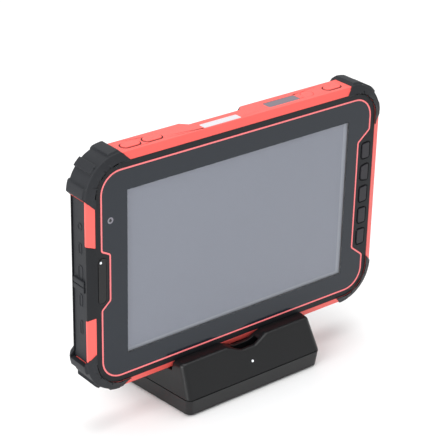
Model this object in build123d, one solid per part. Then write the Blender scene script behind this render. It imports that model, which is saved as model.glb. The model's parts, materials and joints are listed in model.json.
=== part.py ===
from build123d import *
import os

# Rugged eight inch data collector standing upright in its desktop charging cradle.
# Millimetres. X runs along the screen, Y runs from the front to the back, +Z is up.
# The origin is on the table, under the centre of the whole object's outline box.
# The collector's own pieces are drawn about the middle of its front face, with y = 0 on that face,
# and are set into the cradle when they are written.

# ---- Collector: screen, borders and overall ----
screen_width = 172.2
screen_height = 107.6
border_side = 18.3         # from the screen to the trim line, at the sides
border_top = 13.8          # and above and below it
rim_side = 4.3             # from the trim line to the frame's edge, at the sides
rim_top = 4.5
bevel_side = 5.2           # width of the coral bevel round the frame, at the sides
bevel_top = 4.8
body_corner = 24.0
shell_back = 17.4          # rear edge of the coral housing
cover_thickness = 2.6      # black rear cover behind it
wall = 3.6
fit_gap = 0.05             # between pieces that are inlaid or screwed together
moving_gap = 0.3           # between pieces that move against each other

# ---- Front frame, trim line and glass ----
frame_thickness = 2.6
chamfer_depth = 2.0        # how far back the coral bevel reaches
trim_corner = 13.5         # of the thin coral line round the glass
trim_line = 1.1
trim_proud = 0.1
notch_corner = 2.0
glass_sunk = 0.15
glass_thickness = 1.1
lcd_margin = 5.0
lcd_thickness = 2.6
lcd_gap = 0.4
lcd_clearance = 0.3

# ---- Keys beside the screen ----
key_count = 5
key_pitch = 15.4
key_width = 6.0
key_height = 10.2
key_inset = 2.4            # from the trim line's outer side to the keys' middle
key_corner = 1.2
key_proud = 0.5
key_travel = 0.6
key_flange = 0.6
key_edge = 0.3             # rounding of a key's face
key_moat = 0.9             # width of the groove round each key
key_moat_depth = 0.7
key_slants = [(0.5, 0.0), (1.4, -1.4), (0.8, 0.4), (0.0, 0.0), (0.0, 0.0)]
key_notch_depth = 9.2
key_notch_reach = 37.5
key_notch_slope = 7.5
key_board_thickness = 1.0
key_mat_thickness = 0.7
key_strip_side = 2.0       # how far the mat and the board reach past the keys
key_mat_margin = 1.6
key_board_margin = 2.6

# ---- Badge and indicator at the left of the screen ----
badge_notch_depth = 5.9
badge_notch_top = 16.0
badge_notch_bottom = 14.2
badge_notch_slope = (3.2, 5.2)
badge_inset = 0.5          # from the trim line's outer side to the badge's middle
badge_width = 6.2
badge_height = 30.0
badge_thickness = 0.8
badge_proud = 0.1
light_offset = (-1.3, 12.4)  # of the status light from the badge's middle
light_radius = 0.75
light_proud = 0.15
light_pipe_back = 0.8      # how far its pipe stands out behind the frame
wedge_top = 21.5           # black piece between the two coral strips on the left
wedge_bottom = -22.0
wedge_slope = 2.6
wedge_root = 4.0           # how far the wedge runs in under the frame

# ---- Front camera ----
camera_inset = 6.4         # from the trim line's outer side
camera_z = 37.5
camera_radius = 2.9
camera_length = 3.0
camera_clearance = 0.3
camera_eye = 1.3           # radius of the lens opening
camera_eye_depth = 0.6
camera_setback = 0.1       # from the glass to the camera's face

# ---- Buttons on the top edge ----
button_length = 12.6
button_depth = 6.4
button_y = 8.9
button_proud = 0.5
button_travel = 0.6
button_edge = 0.35
button_flange = 0.8
button_flange_side = 0.5
button_moat = 0.8          # width of the groove round each button
button_moat_depth = 0.6
volume_place = 36.1        # from the body's left end to the volume down button
volume_pitch = 15.6
power_place = 36.3         # from the body's right end to the power button
switch_size = (6.0, 3.6, 2.0)
switch_board_size = (14.0, 4.8, 1.0)

# ---- Top edge features ----
scan_window_x = 36.6
scan_window_width = 25.0
scan_window_depth = 7.2
scan_window_y = 9.3
scan_glass = 1.2
scan_glass_sunk = 0.15
scan_corner = 1.2
scan_ledge = 1.0           # seat under the edge of the scan window
scan_engine_half_width = 10.5
scan_engine_front = 3.4    # of the engine from the window's middle
scan_engine_back = 6.2
scan_engine_height = 12.0
scan_engine_gap = 0.4
scan_eye = 2.4
scan_eye_offset = 4.0
scan_eye_depth = 3.0
label_x = -14.0
label_width = 28.0
label_depth = 5.6
label_y = 5.9
label_thickness = 0.4
label_proud = 0.05
label_corner = 0.8
plug_x = 57.5
plug_y = 9.6
plug_radius = 4.2
plug_thickness = 2.0
plug_fit = 0.15
plug_sunk = 0.05
scoop_left = -32.0
scoop_right = 6.0
scoop_front = 13.0
scoop_drop = 5.0

# ---- Back ----
rear_camera_x = -70.0
rear_camera_z = 48.0
rear_camera_radius = 4.5
rear_camera_window = 1.2   # thickness of its window
rear_camera_barrel = 3.6
rear_camera_depth = 4.5    # of the barrel in front of the rear cover
flash_offset = 11.0
flash_radius = 2.0
lens_fit = 0.1
lens_sunk = 0.2
speaker_place = (80.0, -47.0)
speaker_size = (20.0, 12.0)
speaker_depth = 5.0
speaker_gap = 0.1
speaker_slots = 4
speaker_slot_pitch = 2.2
speaker_slot_size = (16.0, 1.0)

# ---- Corner bumpers ----
bumper_base = 0.4          # height of the grooves over the body
bumper_proud = 1.9         # height of the raised blocks over the body
bumper_seat = 1.5          # how deep the bumper is let into the housing
bumper_front = 0.8         # how far it stands in front of the frame
bumper_back = 0.9          # how far it stands behind the rear cover
bumper_run_x = 25.0        # length along the top of the frame
bumper_run_z = 24.9        # length down the side of the frame
bumper_block_side = 15.5   # raised block next to each end
bumper_block_corner = 6.0  # raised block in the middle of the corner
bumper_bevel = 3.8         # depth of the raised blocks' front bevel
bumper_valley_bevel = 1.9  # depth of the grooves' front bevel
bumper_valley_drop = 0.5   # how far the grooves' front edge lies behind the blocks'
bumper_tail = 2.0          # size of the bevel at the back
bumper_lap = 6.5           # how far a bumper laps over the rear cover

# ---- Port doors on the left edge ----
door_front = 3.7
door_face = 1.4            # how far the doors sit inside the body's outline
door_thickness = 2.2
door_floor_gap = 0.2       # between a door and the wall behind it
door_wall = 2.2            # thickness of that wall
door_top_step = 4.6        # top of the upper door above the bumper's tip
door_split = -3.5
door_bottom_step = 7.8     # bottom of the lower door below the bumper's tip
pin_radius = 0.5
pin_clearance = 0.05
pin_root = 1.5             # how far the hinge pins run into the housing and the cover
pin_end_gap = 0.1
pull_tab = 1.6
pull_tab_height = 3.6
pull_tab_inset = 1.2
pull_tab_edge = 0.7
plug_depth = 1.6
plug_clearance = 0.4
port_line = 10.05          # middle of the sockets, behind the front face
port_depth = 10.0
port_shell = 0.5
port_gap = 0.1             # between the wall and a socket
port_tongue = 0.4          # half thickness of a socket's tongue
port_tongue_inset = 1.2
jack_radius = 1.8
port_board_front = 5.0
port_board_back = 15.0
port_board_half_height = 42.0
port_board_thickness = 1.2

# ---- Inside the collector ----
frame_ledge = 1.2          # seat behind the front frame
ledge_side = 1.8           # its width at the sides
ledge_top = 2.1
chassis_thickness = 1.2
chassis_gap = 0.2
chassis_side = 19.9        # from the body's end to the chassis
chassis_top = 9.9
chassis_corner = 8.0
chassis_hole = 4.0
chassis_hole_pitch = 35.0
chassis_hole_inset = 7.0
board_thickness = 1.6
board_standoff = 2.5
board_half_width = 86.0
board_drop = 22.9          # from the body's top to the main board
board_height = 34.0
chips = [(-24.0, -8.0, 10.0, 26.0, 1.2), (2.0, 16.0, 12.0, 24.0, 1.0), (-66.0, -40.0, 6.0, 28.0, 1.6)]
battery_size = (118.0, 7.0, 62.0)
battery_gap = 0.3
battery_drop = 16.0        # of its middle below the body's middle
battery_corner = 2.0
screw_radius = 1.0
screw_fit = 0.02
screw_passage = 0.15
screw_head = 1.9
screw_head_depth = 1.15
screw_length = 7.0
screw_sunk = 0.1
recess_half_length = 1.0
recess_half_width = 0.3
recess_depth = 0.6
boss_radius = 3.0
boss_length = 8.0
boss_rise = 1.2            # of the rear cover's bosses above its inside
screw_row_x = (-47.0, 20.5)
screw_inset = 14.9         # from the body's ends to the corner screws
screw_row_inset = 7.9      # from the body's top to the rows of screws
contact_count = 6
contact_pitch = 3.0
contact_radius = 1.1
contact_y = 10.0
contact_root = 1.5         # how far a contact reaches into the housing
contact_holder_margin = 3.5
contact_holder_size = (6.0, 3.0)
seal_inset = 0.65
seal_width = 0.8
seal_depth = 0.6
cover_rim = 0.5            # how far the rear cover's edge lies inside the body
cover_edge = 0.6
cover_bevel = 3.2
cover_inside = 2.0         # from the housing's wall to the hollow in the rear cover
cover_hollow = 1.0

# ---- Cradle ----
cradle_depth = 76.0
cradle_front_width = 108.0
cradle_flare = 0.09        # half width gained for each millimetre towards the back
cradle_draft = 0.15        # half width lost for each millimetre upwards
cradle_wall = 2.5
cradle_corner = 4.0
foot_height = 1.0
foot_radius = 5.0
band_height = 10.9         # lower band, up to the split line
band_draft = 1.1
split_gap = 0.5
slot_floor = 26.2
lip_top = 32.6
lip_thickness = 8.5
lip_round = 3.0
rest_round = 2.0
slot_clearance = 0.5
rest_top = 58.0
rest_thickness = 6.0
rear_step = 26.0
dip_floor = 28.3
dip_width = 11.0
dip_mouth = 32.0
dip_round = 4.0
glass_setback = 19.0       # from the cradle's front to the collector's front face
collector_rest = 0.8       # from the slot's floor to the collector's bottom edge
pad_thickness = 0.5
cradle_light_height = 20.6
cradle_light_radius = 0.8
pin_head_radius = 0.8
pin_passage = 0.08
pin_length = 6.0
contact_block_margin = 3.0
contact_block_half = 3.5
contact_block_reach = 4.0
contact_block_fit = 0.1
contact_block_rise = 0.02
inlet_radius = 3.1
inlet_pin_radius = 1.0
inlet_size = (9.0, 13.0, 11.0)
inlet_rise = 1.2
inlet_sunk = 0.2
inlet_fit = 0.15
inlet_floor = 2.0
cradle_screw_inset = (11.0, 11.0)  # from the cradle's front corner
cradle_screw_head = 2.3
cradle_screw_head_height = 1.9
cradle_screw_reach = 4.0   # above the split line
post_drop = 5.0            # how far the upper body's posts reach below the split line
crest_reach = 0.2          # margins for finding the edges that are rounded on the lip
nearly_square = 0.97
steepest_crest = 0.6
cradle_screw_sunk = 0.5
cradle_recess = (1.4, 0.3, 0.7)
cradle_post = 3.4
base_post = 3.6
base_post_gap = 0.2
base_passage = 1.3
base_counterbore = 2.5
base_rim_inset = 0.8
base_rim_rise = 0.6
base_rim_thickness = 1.2
base_floor = 2.2
foot_inset = (10.0, 22.0)  # from the cradle's front corner
foot_seat = 0.6
ballast_size = (84.0, 50.0, 3.0)
charging_board_reach = (34.0, 18.0, 22.0)
charging_board_drop = 1.0
charging_chips = [(-12.0, -4.0, 2.0, 10.0, 1.4), (6.0, 14.0, 2.0, 8.0, 2.0)]
pad_x = 34.0
pad_half_width = 9.0
pad_inset = 3.0
light_pipe_length = 7.0
overshoot = 1.0            # how far a cut runs past the face it opens

# ---- Worked out from the sizes above ----
trim_half_width = screen_width / 2 + border_side
trim_half_height = screen_height / 2 + border_top
frame_width = 2 * (trim_half_width + rim_side)
frame_height = 2 * (trim_half_height + rim_top)
frame_corner = body_corner - bevel_side
body_width = frame_width + 2 * bevel_side
body_height = frame_height + 2 * bevel_top
half_width = body_width / 2
half_height = body_height / 2
body_depth = shell_back + cover_thickness
glass_y = glass_setback - cradle_depth / 2
collector_z = slot_floor + collector_rest + half_height
collector_place = Pos(0, glass_y, collector_z)
glass_back = glass_sunk + glass_thickness
lcd_front = glass_back + lcd_gap
lcd_back = lcd_front + lcd_thickness
chassis_front = lcd_back + chassis_gap
chassis_back = chassis_front + chassis_thickness
ledge_back = frame_thickness + frame_ledge
key_x = trim_half_width - key_inset
badge_x = badge_inset - trim_half_width
light_place = (badge_x + light_offset[0], light_offset[1])
camera_place = (camera_inset - trim_half_width, camera_z)
volume_down_x = volume_place - half_width
volume_up_x = volume_down_x + volume_pitch
power_x = half_width - power_place
button_places = (volume_down_x, volume_up_x, power_x)
bumper_x = frame_width / 2 - bumper_run_x
bumper_z = frame_height / 2 - bumper_run_z
door_back = shell_back - moving_gap
wedge_back = door_front - moving_gap
door_top = bumper_z + door_top_step
door_bottom = -bumper_z - door_bottom_step
door_x = -half_width + door_face
door_inner_x = door_x + door_thickness
door_floor_x = door_inner_x + door_floor_gap
hinge_x = door_x + door_thickness / 2
upper_hinge_z = door_top - door_thickness / 2
lower_hinge_z = door_bottom + door_thickness / 2
cavity_left = door_floor_x + door_wall
cavity_right = half_width - wall
cavity_half_height = half_height - wall
switch_top = cavity_half_height - 2 * moving_gap - button_flange - button_travel
key_back = frame_thickness + moving_gap + key_flange
key_mat_front = key_back + key_travel + moving_gap
key_board_front = key_mat_front + key_mat_thickness
split_z = foot_height + band_height
cradle_screw_seat = foot_height + cradle_screw_sunk + cradle_screw_head_height
cradle_front = -cradle_depth / 2
slot_front = glass_y - slot_clearance
slot_back = glass_y + body_depth + slot_clearance
lip_front = slot_front - lip_thickness
cradle_front_half = cradle_front_width / 2
cradle_screw_place = (cradle_front_half - cradle_screw_inset[0], cradle_depth / 2 - cradle_screw_inset[1])
foot_place = (cradle_front_half - foot_inset[0], cradle_depth / 2 - foot_inset[1])
screw_corner = (half_width - screw_inset, half_height - screw_inset)
screw_row_z = half_height - screw_row_inset

screw_places = [(x, z) for x in screw_row_x for z in (-screw_row_z, screw_row_z)]
screw_places += [(i * screw_corner[0], j * screw_corner[1]) for i in (-1, 1) for j in (-1, 1)]
contact_offsets = [(i - (contact_count - 1) / 2) * contact_pitch for i in range(contact_count)]

# Each port: name, height along the edge, and the depth and height of its opening.
upper_ports = [
    ("headset_jack", 34.0, 5.0, 5.0),
    ("usb_c_port", 20.0, 3.4, 9.2),
    ("usb_a_port", 4.5, 5.4, 13.2),
]
lower_ports = [("hdmi_port", -14.0, 3.4, 11.6), ("card_slot", -32.0, 2.4, 13.0)]


# ---- Helpers ----
def slab(sketch, near, far):
    """Solid from a sketch drawn in X and Z, from y = near to y = far."""
    back = Plane(origin=(0, far, 0), x_dir=(1, 0, 0), z_dir=(0, -1, 0))
    return extrude(back * sketch, amount=far - near)


def bevel_slab(front_sketch, back_sketch, near, far):
    """Solid that changes from one X and Z outline at y = near to another at y = far."""
    front = Plane(origin=(0, near, 0), x_dir=(1, 0, 0), z_dir=(0, -1, 0))
    back = Plane(origin=(0, far, 0), x_dir=(1, 0, 0), z_dir=(0, -1, 0))
    return loft([front * front_sketch, back * back_sketch], ruled=True)


def body_outline(grow):
    """The housing's outline in X and Z, grown outwards by a distance."""
    return RectangleRounded(body_width + 2 * grow, body_height + 2 * grow, body_corner + grow)


def frame_outline(grow):
    return RectangleRounded(frame_width + 2 * grow, frame_height + 2 * grow, frame_corner + grow)


def block(x0, x1, y0, y1, z0, z1):
    """Box between two corners."""
    middle = Pos((x0 + x1) / 2, (y0 + y1) / 2, (z0 + z1) / 2)
    return middle * Box(x1 - x0, y1 - y0, z1 - z0)


def rod_y(x, z, radius, near, far):
    """Cylinder along Y."""
    return slab(Pos(x, z) * Circle(radius), near, far)


def rod_z(x, y, radius, low, high):
    """Cylinder along Z."""
    return Pos(x, y, low) * Cylinder(radius, high - low, align=(Align.CENTER, Align.CENTER, Align.MIN))


def upright(sketch, low, high):
    """Solid from a sketch drawn in X and Y, from z = low to z = high."""
    return Pos(0, 0, low) * extrude(sketch, amount=high - low)


def trim_path(grow):
    """Outline of the thin line round the glass, with its two notches, grown by a distance."""
    x, z = trim_half_width, trim_half_height
    key_side = x - key_notch_depth
    badge_side = badge_notch_depth - x
    points = [
        (-x, -z), (x, -z),
        (x, -key_notch_reach - key_notch_slope), (key_side, -key_notch_reach),
        (key_side, key_notch_reach), (x, key_notch_reach + key_notch_slope),
        (x, z), (-x, z),
        (-x, badge_notch_top + badge_notch_slope[0]), (badge_side, badge_notch_top),
        (badge_side, -badge_notch_bottom), (-x, -badge_notch_bottom - badge_notch_slope[1]),
    ]
    soft = [notch_corner] * 4
    radii = [trim_corner, trim_corner] + soft + [trim_corner, trim_corner] + soft
    outline = make_face(FilletPolyline(*points, radius=radii, close=True))
    if grow:
        outline = offset(outline, amount=grow)
    return outline


# ---- Front ----
def key_outline(index, grow):
    """Face of one front key: the upper keys have slanted ends."""
    top_slant, bottom_slant = key_slants[index]
    x, z = key_width / 2, key_height / 2
    points = [
        (-x, -z - bottom_slant / 2), (x, -z + bottom_slant / 2),
        (x, z + top_slant / 2), (-x, z - top_slant / 2),
    ]
    outline = make_face(FilletPolyline(*points, radius=key_corner, close=True))
    if grow:
        outline = offset(outline, amount=grow)
    z_place = ((key_count - 1) / 2 - index) * key_pitch
    return Pos(key_x, z_place) * outline


def stadium(width, height):
    """Long shape with round ends."""
    return SlotOverall(max(width, height), min(width, height), rotation=0 if width > height else 90)


def badge_outline(grow):
    return Pos(badge_x, 0) * stadium(badge_width + 2 * grow, badge_height + 2 * grow)


def wedge_outline(grow):
    """Black piece that runs out between the coral strips on the left edge."""
    inner = -frame_width / 2 + wedge_root
    outer = -half_width
    points = [
        (inner, wedge_bottom - grow), (outer, wedge_bottom - wedge_slope - grow),
        (outer, wedge_top + wedge_slope + grow), (inner, wedge_top + grow),
    ]
    return make_face(Polyline(*points, close=True))


def housing_blank():
    """Outside of the coral housing with its bevelled front edge, before anything is cut."""
    front = bevel_slab(frame_outline(0), body_outline(0), 0, chamfer_depth)
    return front + slab(body_outline(0), chamfer_depth, shell_back)


def cover_blank():
    """Outside of the rear cover, before anything is cut."""
    middle = shell_back + cover_edge
    front = slab(body_outline(-cover_rim), shell_back, middle)
    back = bevel_slab(body_outline(-cover_rim), body_outline(-cover_rim - cover_bevel), middle, body_depth)
    return front + back


def front_frame():
    frame = slab(frame_outline(-fit_gap), 0, frame_thickness)
    frame += housing_blank() & slab(wedge_outline(-fit_gap), 0, wedge_back - fit_gap)
    front, back = -overshoot, frame_thickness + overshoot
    frame -= slab(trim_path(trim_line / 2), front, glass_back)
    margin = lcd_margin + lcd_clearance
    frame -= slab(Rectangle(screen_width + 2 * margin, screen_height + 2 * margin), 0, back)
    for index in range(key_count):
        frame -= slab(key_outline(index, moving_gap), front, back)
        frame -= slab(key_outline(index, key_moat), front, key_moat_depth)
    frame -= slab(badge_outline(fit_gap), front, badge_thickness)
    frame -= rod_y(*light_place, light_radius + fit_gap, front, back)
    frame -= rod_y(*camera_place, camera_radius + camera_clearance, front, back)
    return frame


def pinstripe_trim():
    ring = trim_path(trim_line / 2 - fit_gap) - trim_path(-trim_line / 2)
    return slab(ring, -trim_proud, glass_back)


def cover_glass():
    return slab(trim_path(-trim_line / 2 - fit_gap), glass_sunk, glass_back)


def lcd_panel():
    outline = Rectangle(screen_width + 2 * lcd_margin, screen_height + 2 * lcd_margin)
    return slab(outline, lcd_front, lcd_back)


def front_camera():
    barrel = rod_y(*camera_place, camera_radius, glass_back + camera_setback, glass_back + camera_length)
    return barrel - rod_y(*camera_place, camera_eye, glass_back, glass_back + camera_eye_depth)


def badge_plate():
    plate = slab(badge_outline(0), -badge_proud, badge_thickness)
    return plate - rod_y(*light_place, light_radius + fit_gap, -overshoot, badge_thickness + overshoot)


def status_light():
    return rod_y(*light_place, light_radius, -light_proud, frame_thickness + light_pipe_back)


def front_key(index):
    cap = slab(key_outline(index, 0), -key_proud, frame_thickness + moving_gap)
    cap = fillet(cap.faces().sort_by(Axis.Y)[0].edges(), key_edge)
    flange = slab(key_outline(index, moving_gap + key_flange), frame_thickness + moving_gap, key_back)
    return cap + flange


def key_strip(margin):
    """Outline of the strips behind the keys."""
    reach = (key_count - 1) / 2 * key_pitch + key_height / 2
    return Pos(key_x, 0) * Rectangle(key_width + 2 * key_strip_side, 2 * (reach + margin))


def key_mat():
    return slab(key_strip(key_mat_margin), key_mat_front, key_board_front)


def key_board():
    return slab(key_strip(key_board_margin), key_board_front, key_board_front + key_board_thickness)


# ---- Housing ----
def bumper_region(grow):
    """Top left corner region, with ends cut at 45 degrees, drawn in X and Z."""
    far = bevel_side + bevel_top + bumper_proud
    x0, z0 = bumper_x - grow, bumper_z - grow
    x1, z1 = frame_width / 2, frame_height / 2
    points = [
        (-x0, z0), (-x0, z1), (-x0 - far, z1 + far), (-x1 - far, z1 + far), (-x1 - far, z0 + far), (-x1, z0),
    ]
    return make_face(Polyline(*points, close=True))


def bumper_seats():
    """What is cut away round all four corners of the housing and the rear cover."""
    near, far = -overshoot, body_depth + overshoot
    corner = slab(bumper_region(0), near, far)
    corner -= slab(body_outline(-bumper_seat), near - overshoot, far + overshoot)
    return all_corners(corner)


def all_corners(shape):
    """A top left shape and its mirror images at the other three corners."""
    right = mirror(shape, about=Plane.YZ)
    return [shape, right, mirror(shape, about=Plane.XY), mirror(right, about=Plane.XY)]


def button_outline(x, grow):
    return Pos(x, button_y) * stadium(button_length + 2 * grow, button_depth + 2 * grow)


def door_recess():
    """Space for both port doors, open at the left and at the back."""
    left = -half_width - bumper_proud - overshoot
    return block(left, door_floor_x, door_front - moving_gap, shell_back + overshoot,
                 door_bottom - moving_gap, door_top + moving_gap)


def port_opening(port, grow, x0, x1):
    """Block as deep and as high as a port's opening, grown by a distance."""
    name, z, depth, height = port
    return block(x0, x1, port_line - depth / 2 - grow, port_line + depth / 2 + grow,
                 z - height / 2 - grow, z + height / 2 + grow)


def scoop():
    """Stepped recess in the rear top edge, with sloping ends."""
    run = shell_back - scoop_front
    back = body_depth + overshoot
    plan = make_face(Polyline(
        (scoop_left, scoop_front), (scoop_right, scoop_front), (scoop_right + run, shell_back),
        (scoop_right + run, back), (scoop_left - run, back), (scoop_left - run, shell_back), close=True))
    return upright(plan, half_height - scoop_drop, half_height + overshoot)


def cavity_outline(grow):
    """Inside of the housing in X and Z: thicker walls at the port doors and under the scoop."""
    middle = (cavity_left + cavity_right) / 2
    width = cavity_right - cavity_left
    outline = Pos(middle, 0) * RectangleRounded(width, 2 * cavity_half_height, body_corner)
    run = shell_back - scoop_front
    left, right = scoop_left - run - wall, scoop_right + run + wall
    low = half_height - scoop_drop - wall
    outline -= Pos((left + right) / 2, (low + half_height) / 2) * Rectangle(right - left, half_height - low)
    if grow:
        outline = offset(outline, amount=grow)
    return outline


def housing_cavity():
    """Space inside the housing, with the ledge that the front frame sits on."""
    hollow = slab(cavity_outline(0), ledge_back, shell_back + overshoot)
    opening = RectangleRounded(frame_width - 2 * ledge_side, frame_height - 2 * ledge_top, frame_corner)
    return hollow + slab(opening, frame_thickness - overshoot, ledge_back + frame_ledge / 2)


def screw_bosses():
    """Bosses for the rear cover's screws, each joined to the nearest wall."""
    bosses = []
    front = shell_back - boss_length
    for x, z in screw_places:
        bosses.append(rod_y(x, z, boss_radius, front, shell_back))
        if abs(x) < screw_corner[0]:
            wall_z = (cavity_half_height + overshoot) * (1 if z > 0 else -1)
            low, high = sorted((z, wall_z))
            bosses.append(block(x - boss_radius, x + boss_radius, front, shell_back, low, high))
        else:
            wall_x = cavity_right + overshoot if x > 0 else cavity_left - overshoot
            low, high = sorted((x, wall_x))
            bosses.append(block(low, high, front, shell_back, z - boss_radius, z + boss_radius))
    return bosses


def rim_seal_ring(width, near, far):
    """Seal line in the rear rim, just outside the cavity."""
    ring = cavity_outline(seal_inset + width) - cavity_outline(seal_inset)
    return slab(ring, near, far)


def housing():
    """Coral housing: a frame of outer walls with every seat, hole and recess cut into it."""
    shell = housing_blank() - slab(frame_outline(0), -overshoot, frame_thickness)
    shell -= slab(wedge_outline(0), -overshoot, wedge_back)
    shell -= housing_cavity()
    for boss in screw_bosses():
        shell += boss
    for x, z in screw_places:
        shell -= rod_y(x, z, screw_radius, shell_back - screw_length, shell_back + overshoot)
    for cut in bumper_seats():
        shell -= cut
    shell -= door_recess()
    for socket in upper_ports + lower_ports:
        shell -= port_opening(socket, 0, door_floor_x - overshoot, cavity_left + overshoot)
    shell = with_top_openings(shell)
    for z in (upper_hinge_z, lower_hinge_z):
        shell -= rod_y(hinge_x, z, pin_radius, door_front - pin_root, shell_back + overshoot)
    for offset_x in contact_offsets:
        low, high = -half_height - overshoot, overshoot - cavity_half_height
        shell -= rod_z(offset_x, contact_y, contact_radius, low, high)
    shell -= rim_seal_ring(seal_width, shell_back - seal_depth, shell_back + overshoot)
    return shell


def with_top_openings(shell):
    """The housing with its openings for buttons, window, label and plug, and the scoop at the back."""
    above = half_height + overshoot
    for x in button_places:
        shell -= upright(button_outline(x, moving_gap), cavity_half_height - overshoot, above)
        shell -= upright(button_outline(x, button_moat), half_height - button_moat_depth, above)
    shell -= upright(scan_outline(fit_gap), half_height - scan_glass, above)
    shell -= upright(scan_outline(-scan_ledge), cavity_half_height - overshoot, half_height)
    shell -= upright(label_outline(fit_gap), half_height - label_thickness, above)
    shell -= rod_z(plug_x, plug_y, plug_radius + plug_fit, half_height - plug_thickness, above)
    return shell - scoop()


def scan_outline(grow):
    return Pos(scan_window_x, scan_window_y) * RectangleRounded(
        scan_window_width + 2 * grow, scan_window_depth + 2 * grow, scan_corner + min(grow, 0)
    )


def label_outline(grow):
    return Pos(label_x, label_y) * RectangleRounded(
        label_width + 2 * grow, label_depth + 2 * grow, label_corner
    )


def scan_window():
    return upright(scan_outline(0), half_height - scan_glass, half_height - scan_glass_sunk)


def scan_engine():
    top = cavity_half_height - scan_engine_gap
    left, right = scan_window_x - scan_engine_half_width, scan_window_x + scan_engine_half_width
    front, back = scan_window_y - scan_engine_front, scan_window_y + scan_engine_back
    body = block(left, right, front, back, top - scan_engine_height, top)
    eye_x = scan_window_x - scan_eye_offset
    return body - rod_z(eye_x, scan_window_y, scan_eye, top - scan_eye_depth, top + overshoot)


def label_strip():
    return upright(label_outline(0), half_height - label_thickness, half_height + label_proud)


def antenna_plug():
    return rod_z(plug_x, plug_y, plug_radius, half_height - plug_thickness + fit_gap, half_height - plug_sunk)


def top_button(x):
    flange_top = cavity_half_height - moving_gap
    cap = upright(button_outline(x, 0), flange_top, half_height + button_proud)
    cap = fillet(cap.faces().sort_by(Axis.Z)[-1].edges(), button_edge)
    flange = button_outline(x, moving_gap + button_flange_side)
    return cap + upright(flange, flange_top - button_flange, flange_top)


def side_switches():
    width, depth, height = switch_size
    switches = []
    for x in button_places:
        switches.append(block(x - width / 2, x + width / 2, button_y - depth / 2, button_y + depth / 2,
                              switch_top - height, switch_top))
    return Compound(switches)


def switch_board():
    width, depth, thickness = switch_board_size
    top = switch_top - switch_size[2]
    boards = []
    for first, last in ((volume_down_x, volume_up_x), (power_x, power_x)):
        boards.append(block(first - width / 2, last + width / 2, button_y - depth / 2, button_y + depth / 2,
                            top - thickness, top))
    return Compound(boards)


def rear_cover():
    """Black cover with its screw bosses, camera, speaker and hinge pin openings."""
    near, far = shell_back - overshoot, body_depth + overshoot
    cover = cover_blank()
    cover -= slab(body_outline(-wall - cover_inside), near, shell_back + cover_hollow)
    for x, z in screw_places:
        cover += rod_y(x, z, boss_radius, shell_back, shell_back + boss_rise)
    for x, z in screw_places:
        cover -= rod_y(x, z, screw_radius + screw_passage, near, far)
        cover -= rod_y(x, z, screw_head + screw_passage, body_depth - screw_head_depth - fit_gap, far)
    for cut in bumper_seats():
        cover -= cut
    cover -= scoop()
    cover -= rod_y(rear_camera_x, rear_camera_z, rear_camera_radius + lens_fit, near, far)
    cover -= rod_y(rear_camera_x + flash_offset, rear_camera_z, flash_radius + lens_fit, near, far)
    for row in range(speaker_slots):
        z = speaker_place[1] + (row - (speaker_slots - 1) / 2) * speaker_slot_pitch
        cover -= slab(Pos(speaker_place[0], z) * SlotOverall(*speaker_slot_size), near, far)
    for z in (upper_hinge_z, lower_hinge_z):
        cover -= rod_y(hinge_x, z, pin_radius, near, shell_back + pin_root)
    return cover


def rear_cover_screws():
    screws = []
    face = body_depth - screw_sunk
    tip = shell_back - screw_length + screw_radius / 2
    long, short = recess_half_length, recess_half_width
    for x, z in screw_places:
        shank = rod_y(x, z, screw_radius - screw_fit, tip, face - recess_depth)
        head = rod_y(x, z, screw_head, body_depth - screw_head_depth, face)
        slot = block(x - long, x + long, face - recess_depth, body_depth, z - short, z + short)
        cross = block(x - short, x + short, face - recess_depth, body_depth, z - long, z + long)
        screws.append(shank + head - slot - cross)
    return Compound(screws)


def rear_camera():
    face = body_depth - lens_sunk
    window = rod_y(rear_camera_x, rear_camera_z, rear_camera_radius, face - rear_camera_window, face)
    front = shell_back - rear_camera_depth
    return window + rod_y(rear_camera_x, rear_camera_z, rear_camera_barrel, front, face - rear_camera_window)


def flash_window():
    x = rear_camera_x + flash_offset
    return rod_y(x, rear_camera_z, flash_radius, shell_back, body_depth - lens_sunk)


def speaker():
    x, z = speaker_place
    width, height = speaker_size[0] / 2, speaker_size[1] / 2
    front, back = shell_back - speaker_depth, shell_back + cover_hollow - speaker_gap
    return block(x - width, x + width, front, back, z - height, z + height)


def cover_seal():
    return rim_seal_ring(seal_width, shell_back - seal_depth, shell_back)


def chassis_plate():
    """Stiff plate behind the display, with a row of holes above and below."""
    width, height = body_width - 2 * chassis_side, body_height - 2 * chassis_top
    plate = slab(RectangleRounded(width, height, chassis_corner), chassis_front, chassis_back)
    hole_z = height / 2 - chassis_hole_inset
    for step in range(-2, 3):
        for z in (-hole_z, hole_z):
            x = step * chassis_hole_pitch
            plate -= rod_y(x, z, chassis_hole, chassis_front - overshoot, chassis_back + overshoot)
    return plate


def battery_pack():
    width, depth, height = battery_size
    front = chassis_back + battery_gap
    low, high = -height / 2 - battery_drop, height / 2 - battery_drop
    cell = block(-width / 2, width / 2, front, front + depth, low, high)
    return fillet(cell.edges().filter_by(Axis.Y), battery_corner)


def main_board():
    """Circuit board with its larger chips towards the front."""
    front = chassis_back + board_standoff
    top = half_height - board_drop
    low = top - board_height
    board = block(-board_half_width, board_half_width, front, front + board_thickness, low, top)
    for left, right, bottom, upper, thickness in chips:
        board += block(left, right, front - thickness, front, low + bottom, low + upper)
    return board


def port_board():
    left = cavity_left + port_gap + port_shell + port_depth + door_floor_gap
    right = left + port_board_thickness
    height = port_board_half_height
    return block(left, right, port_board_front, port_board_back, -height, height)


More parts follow.
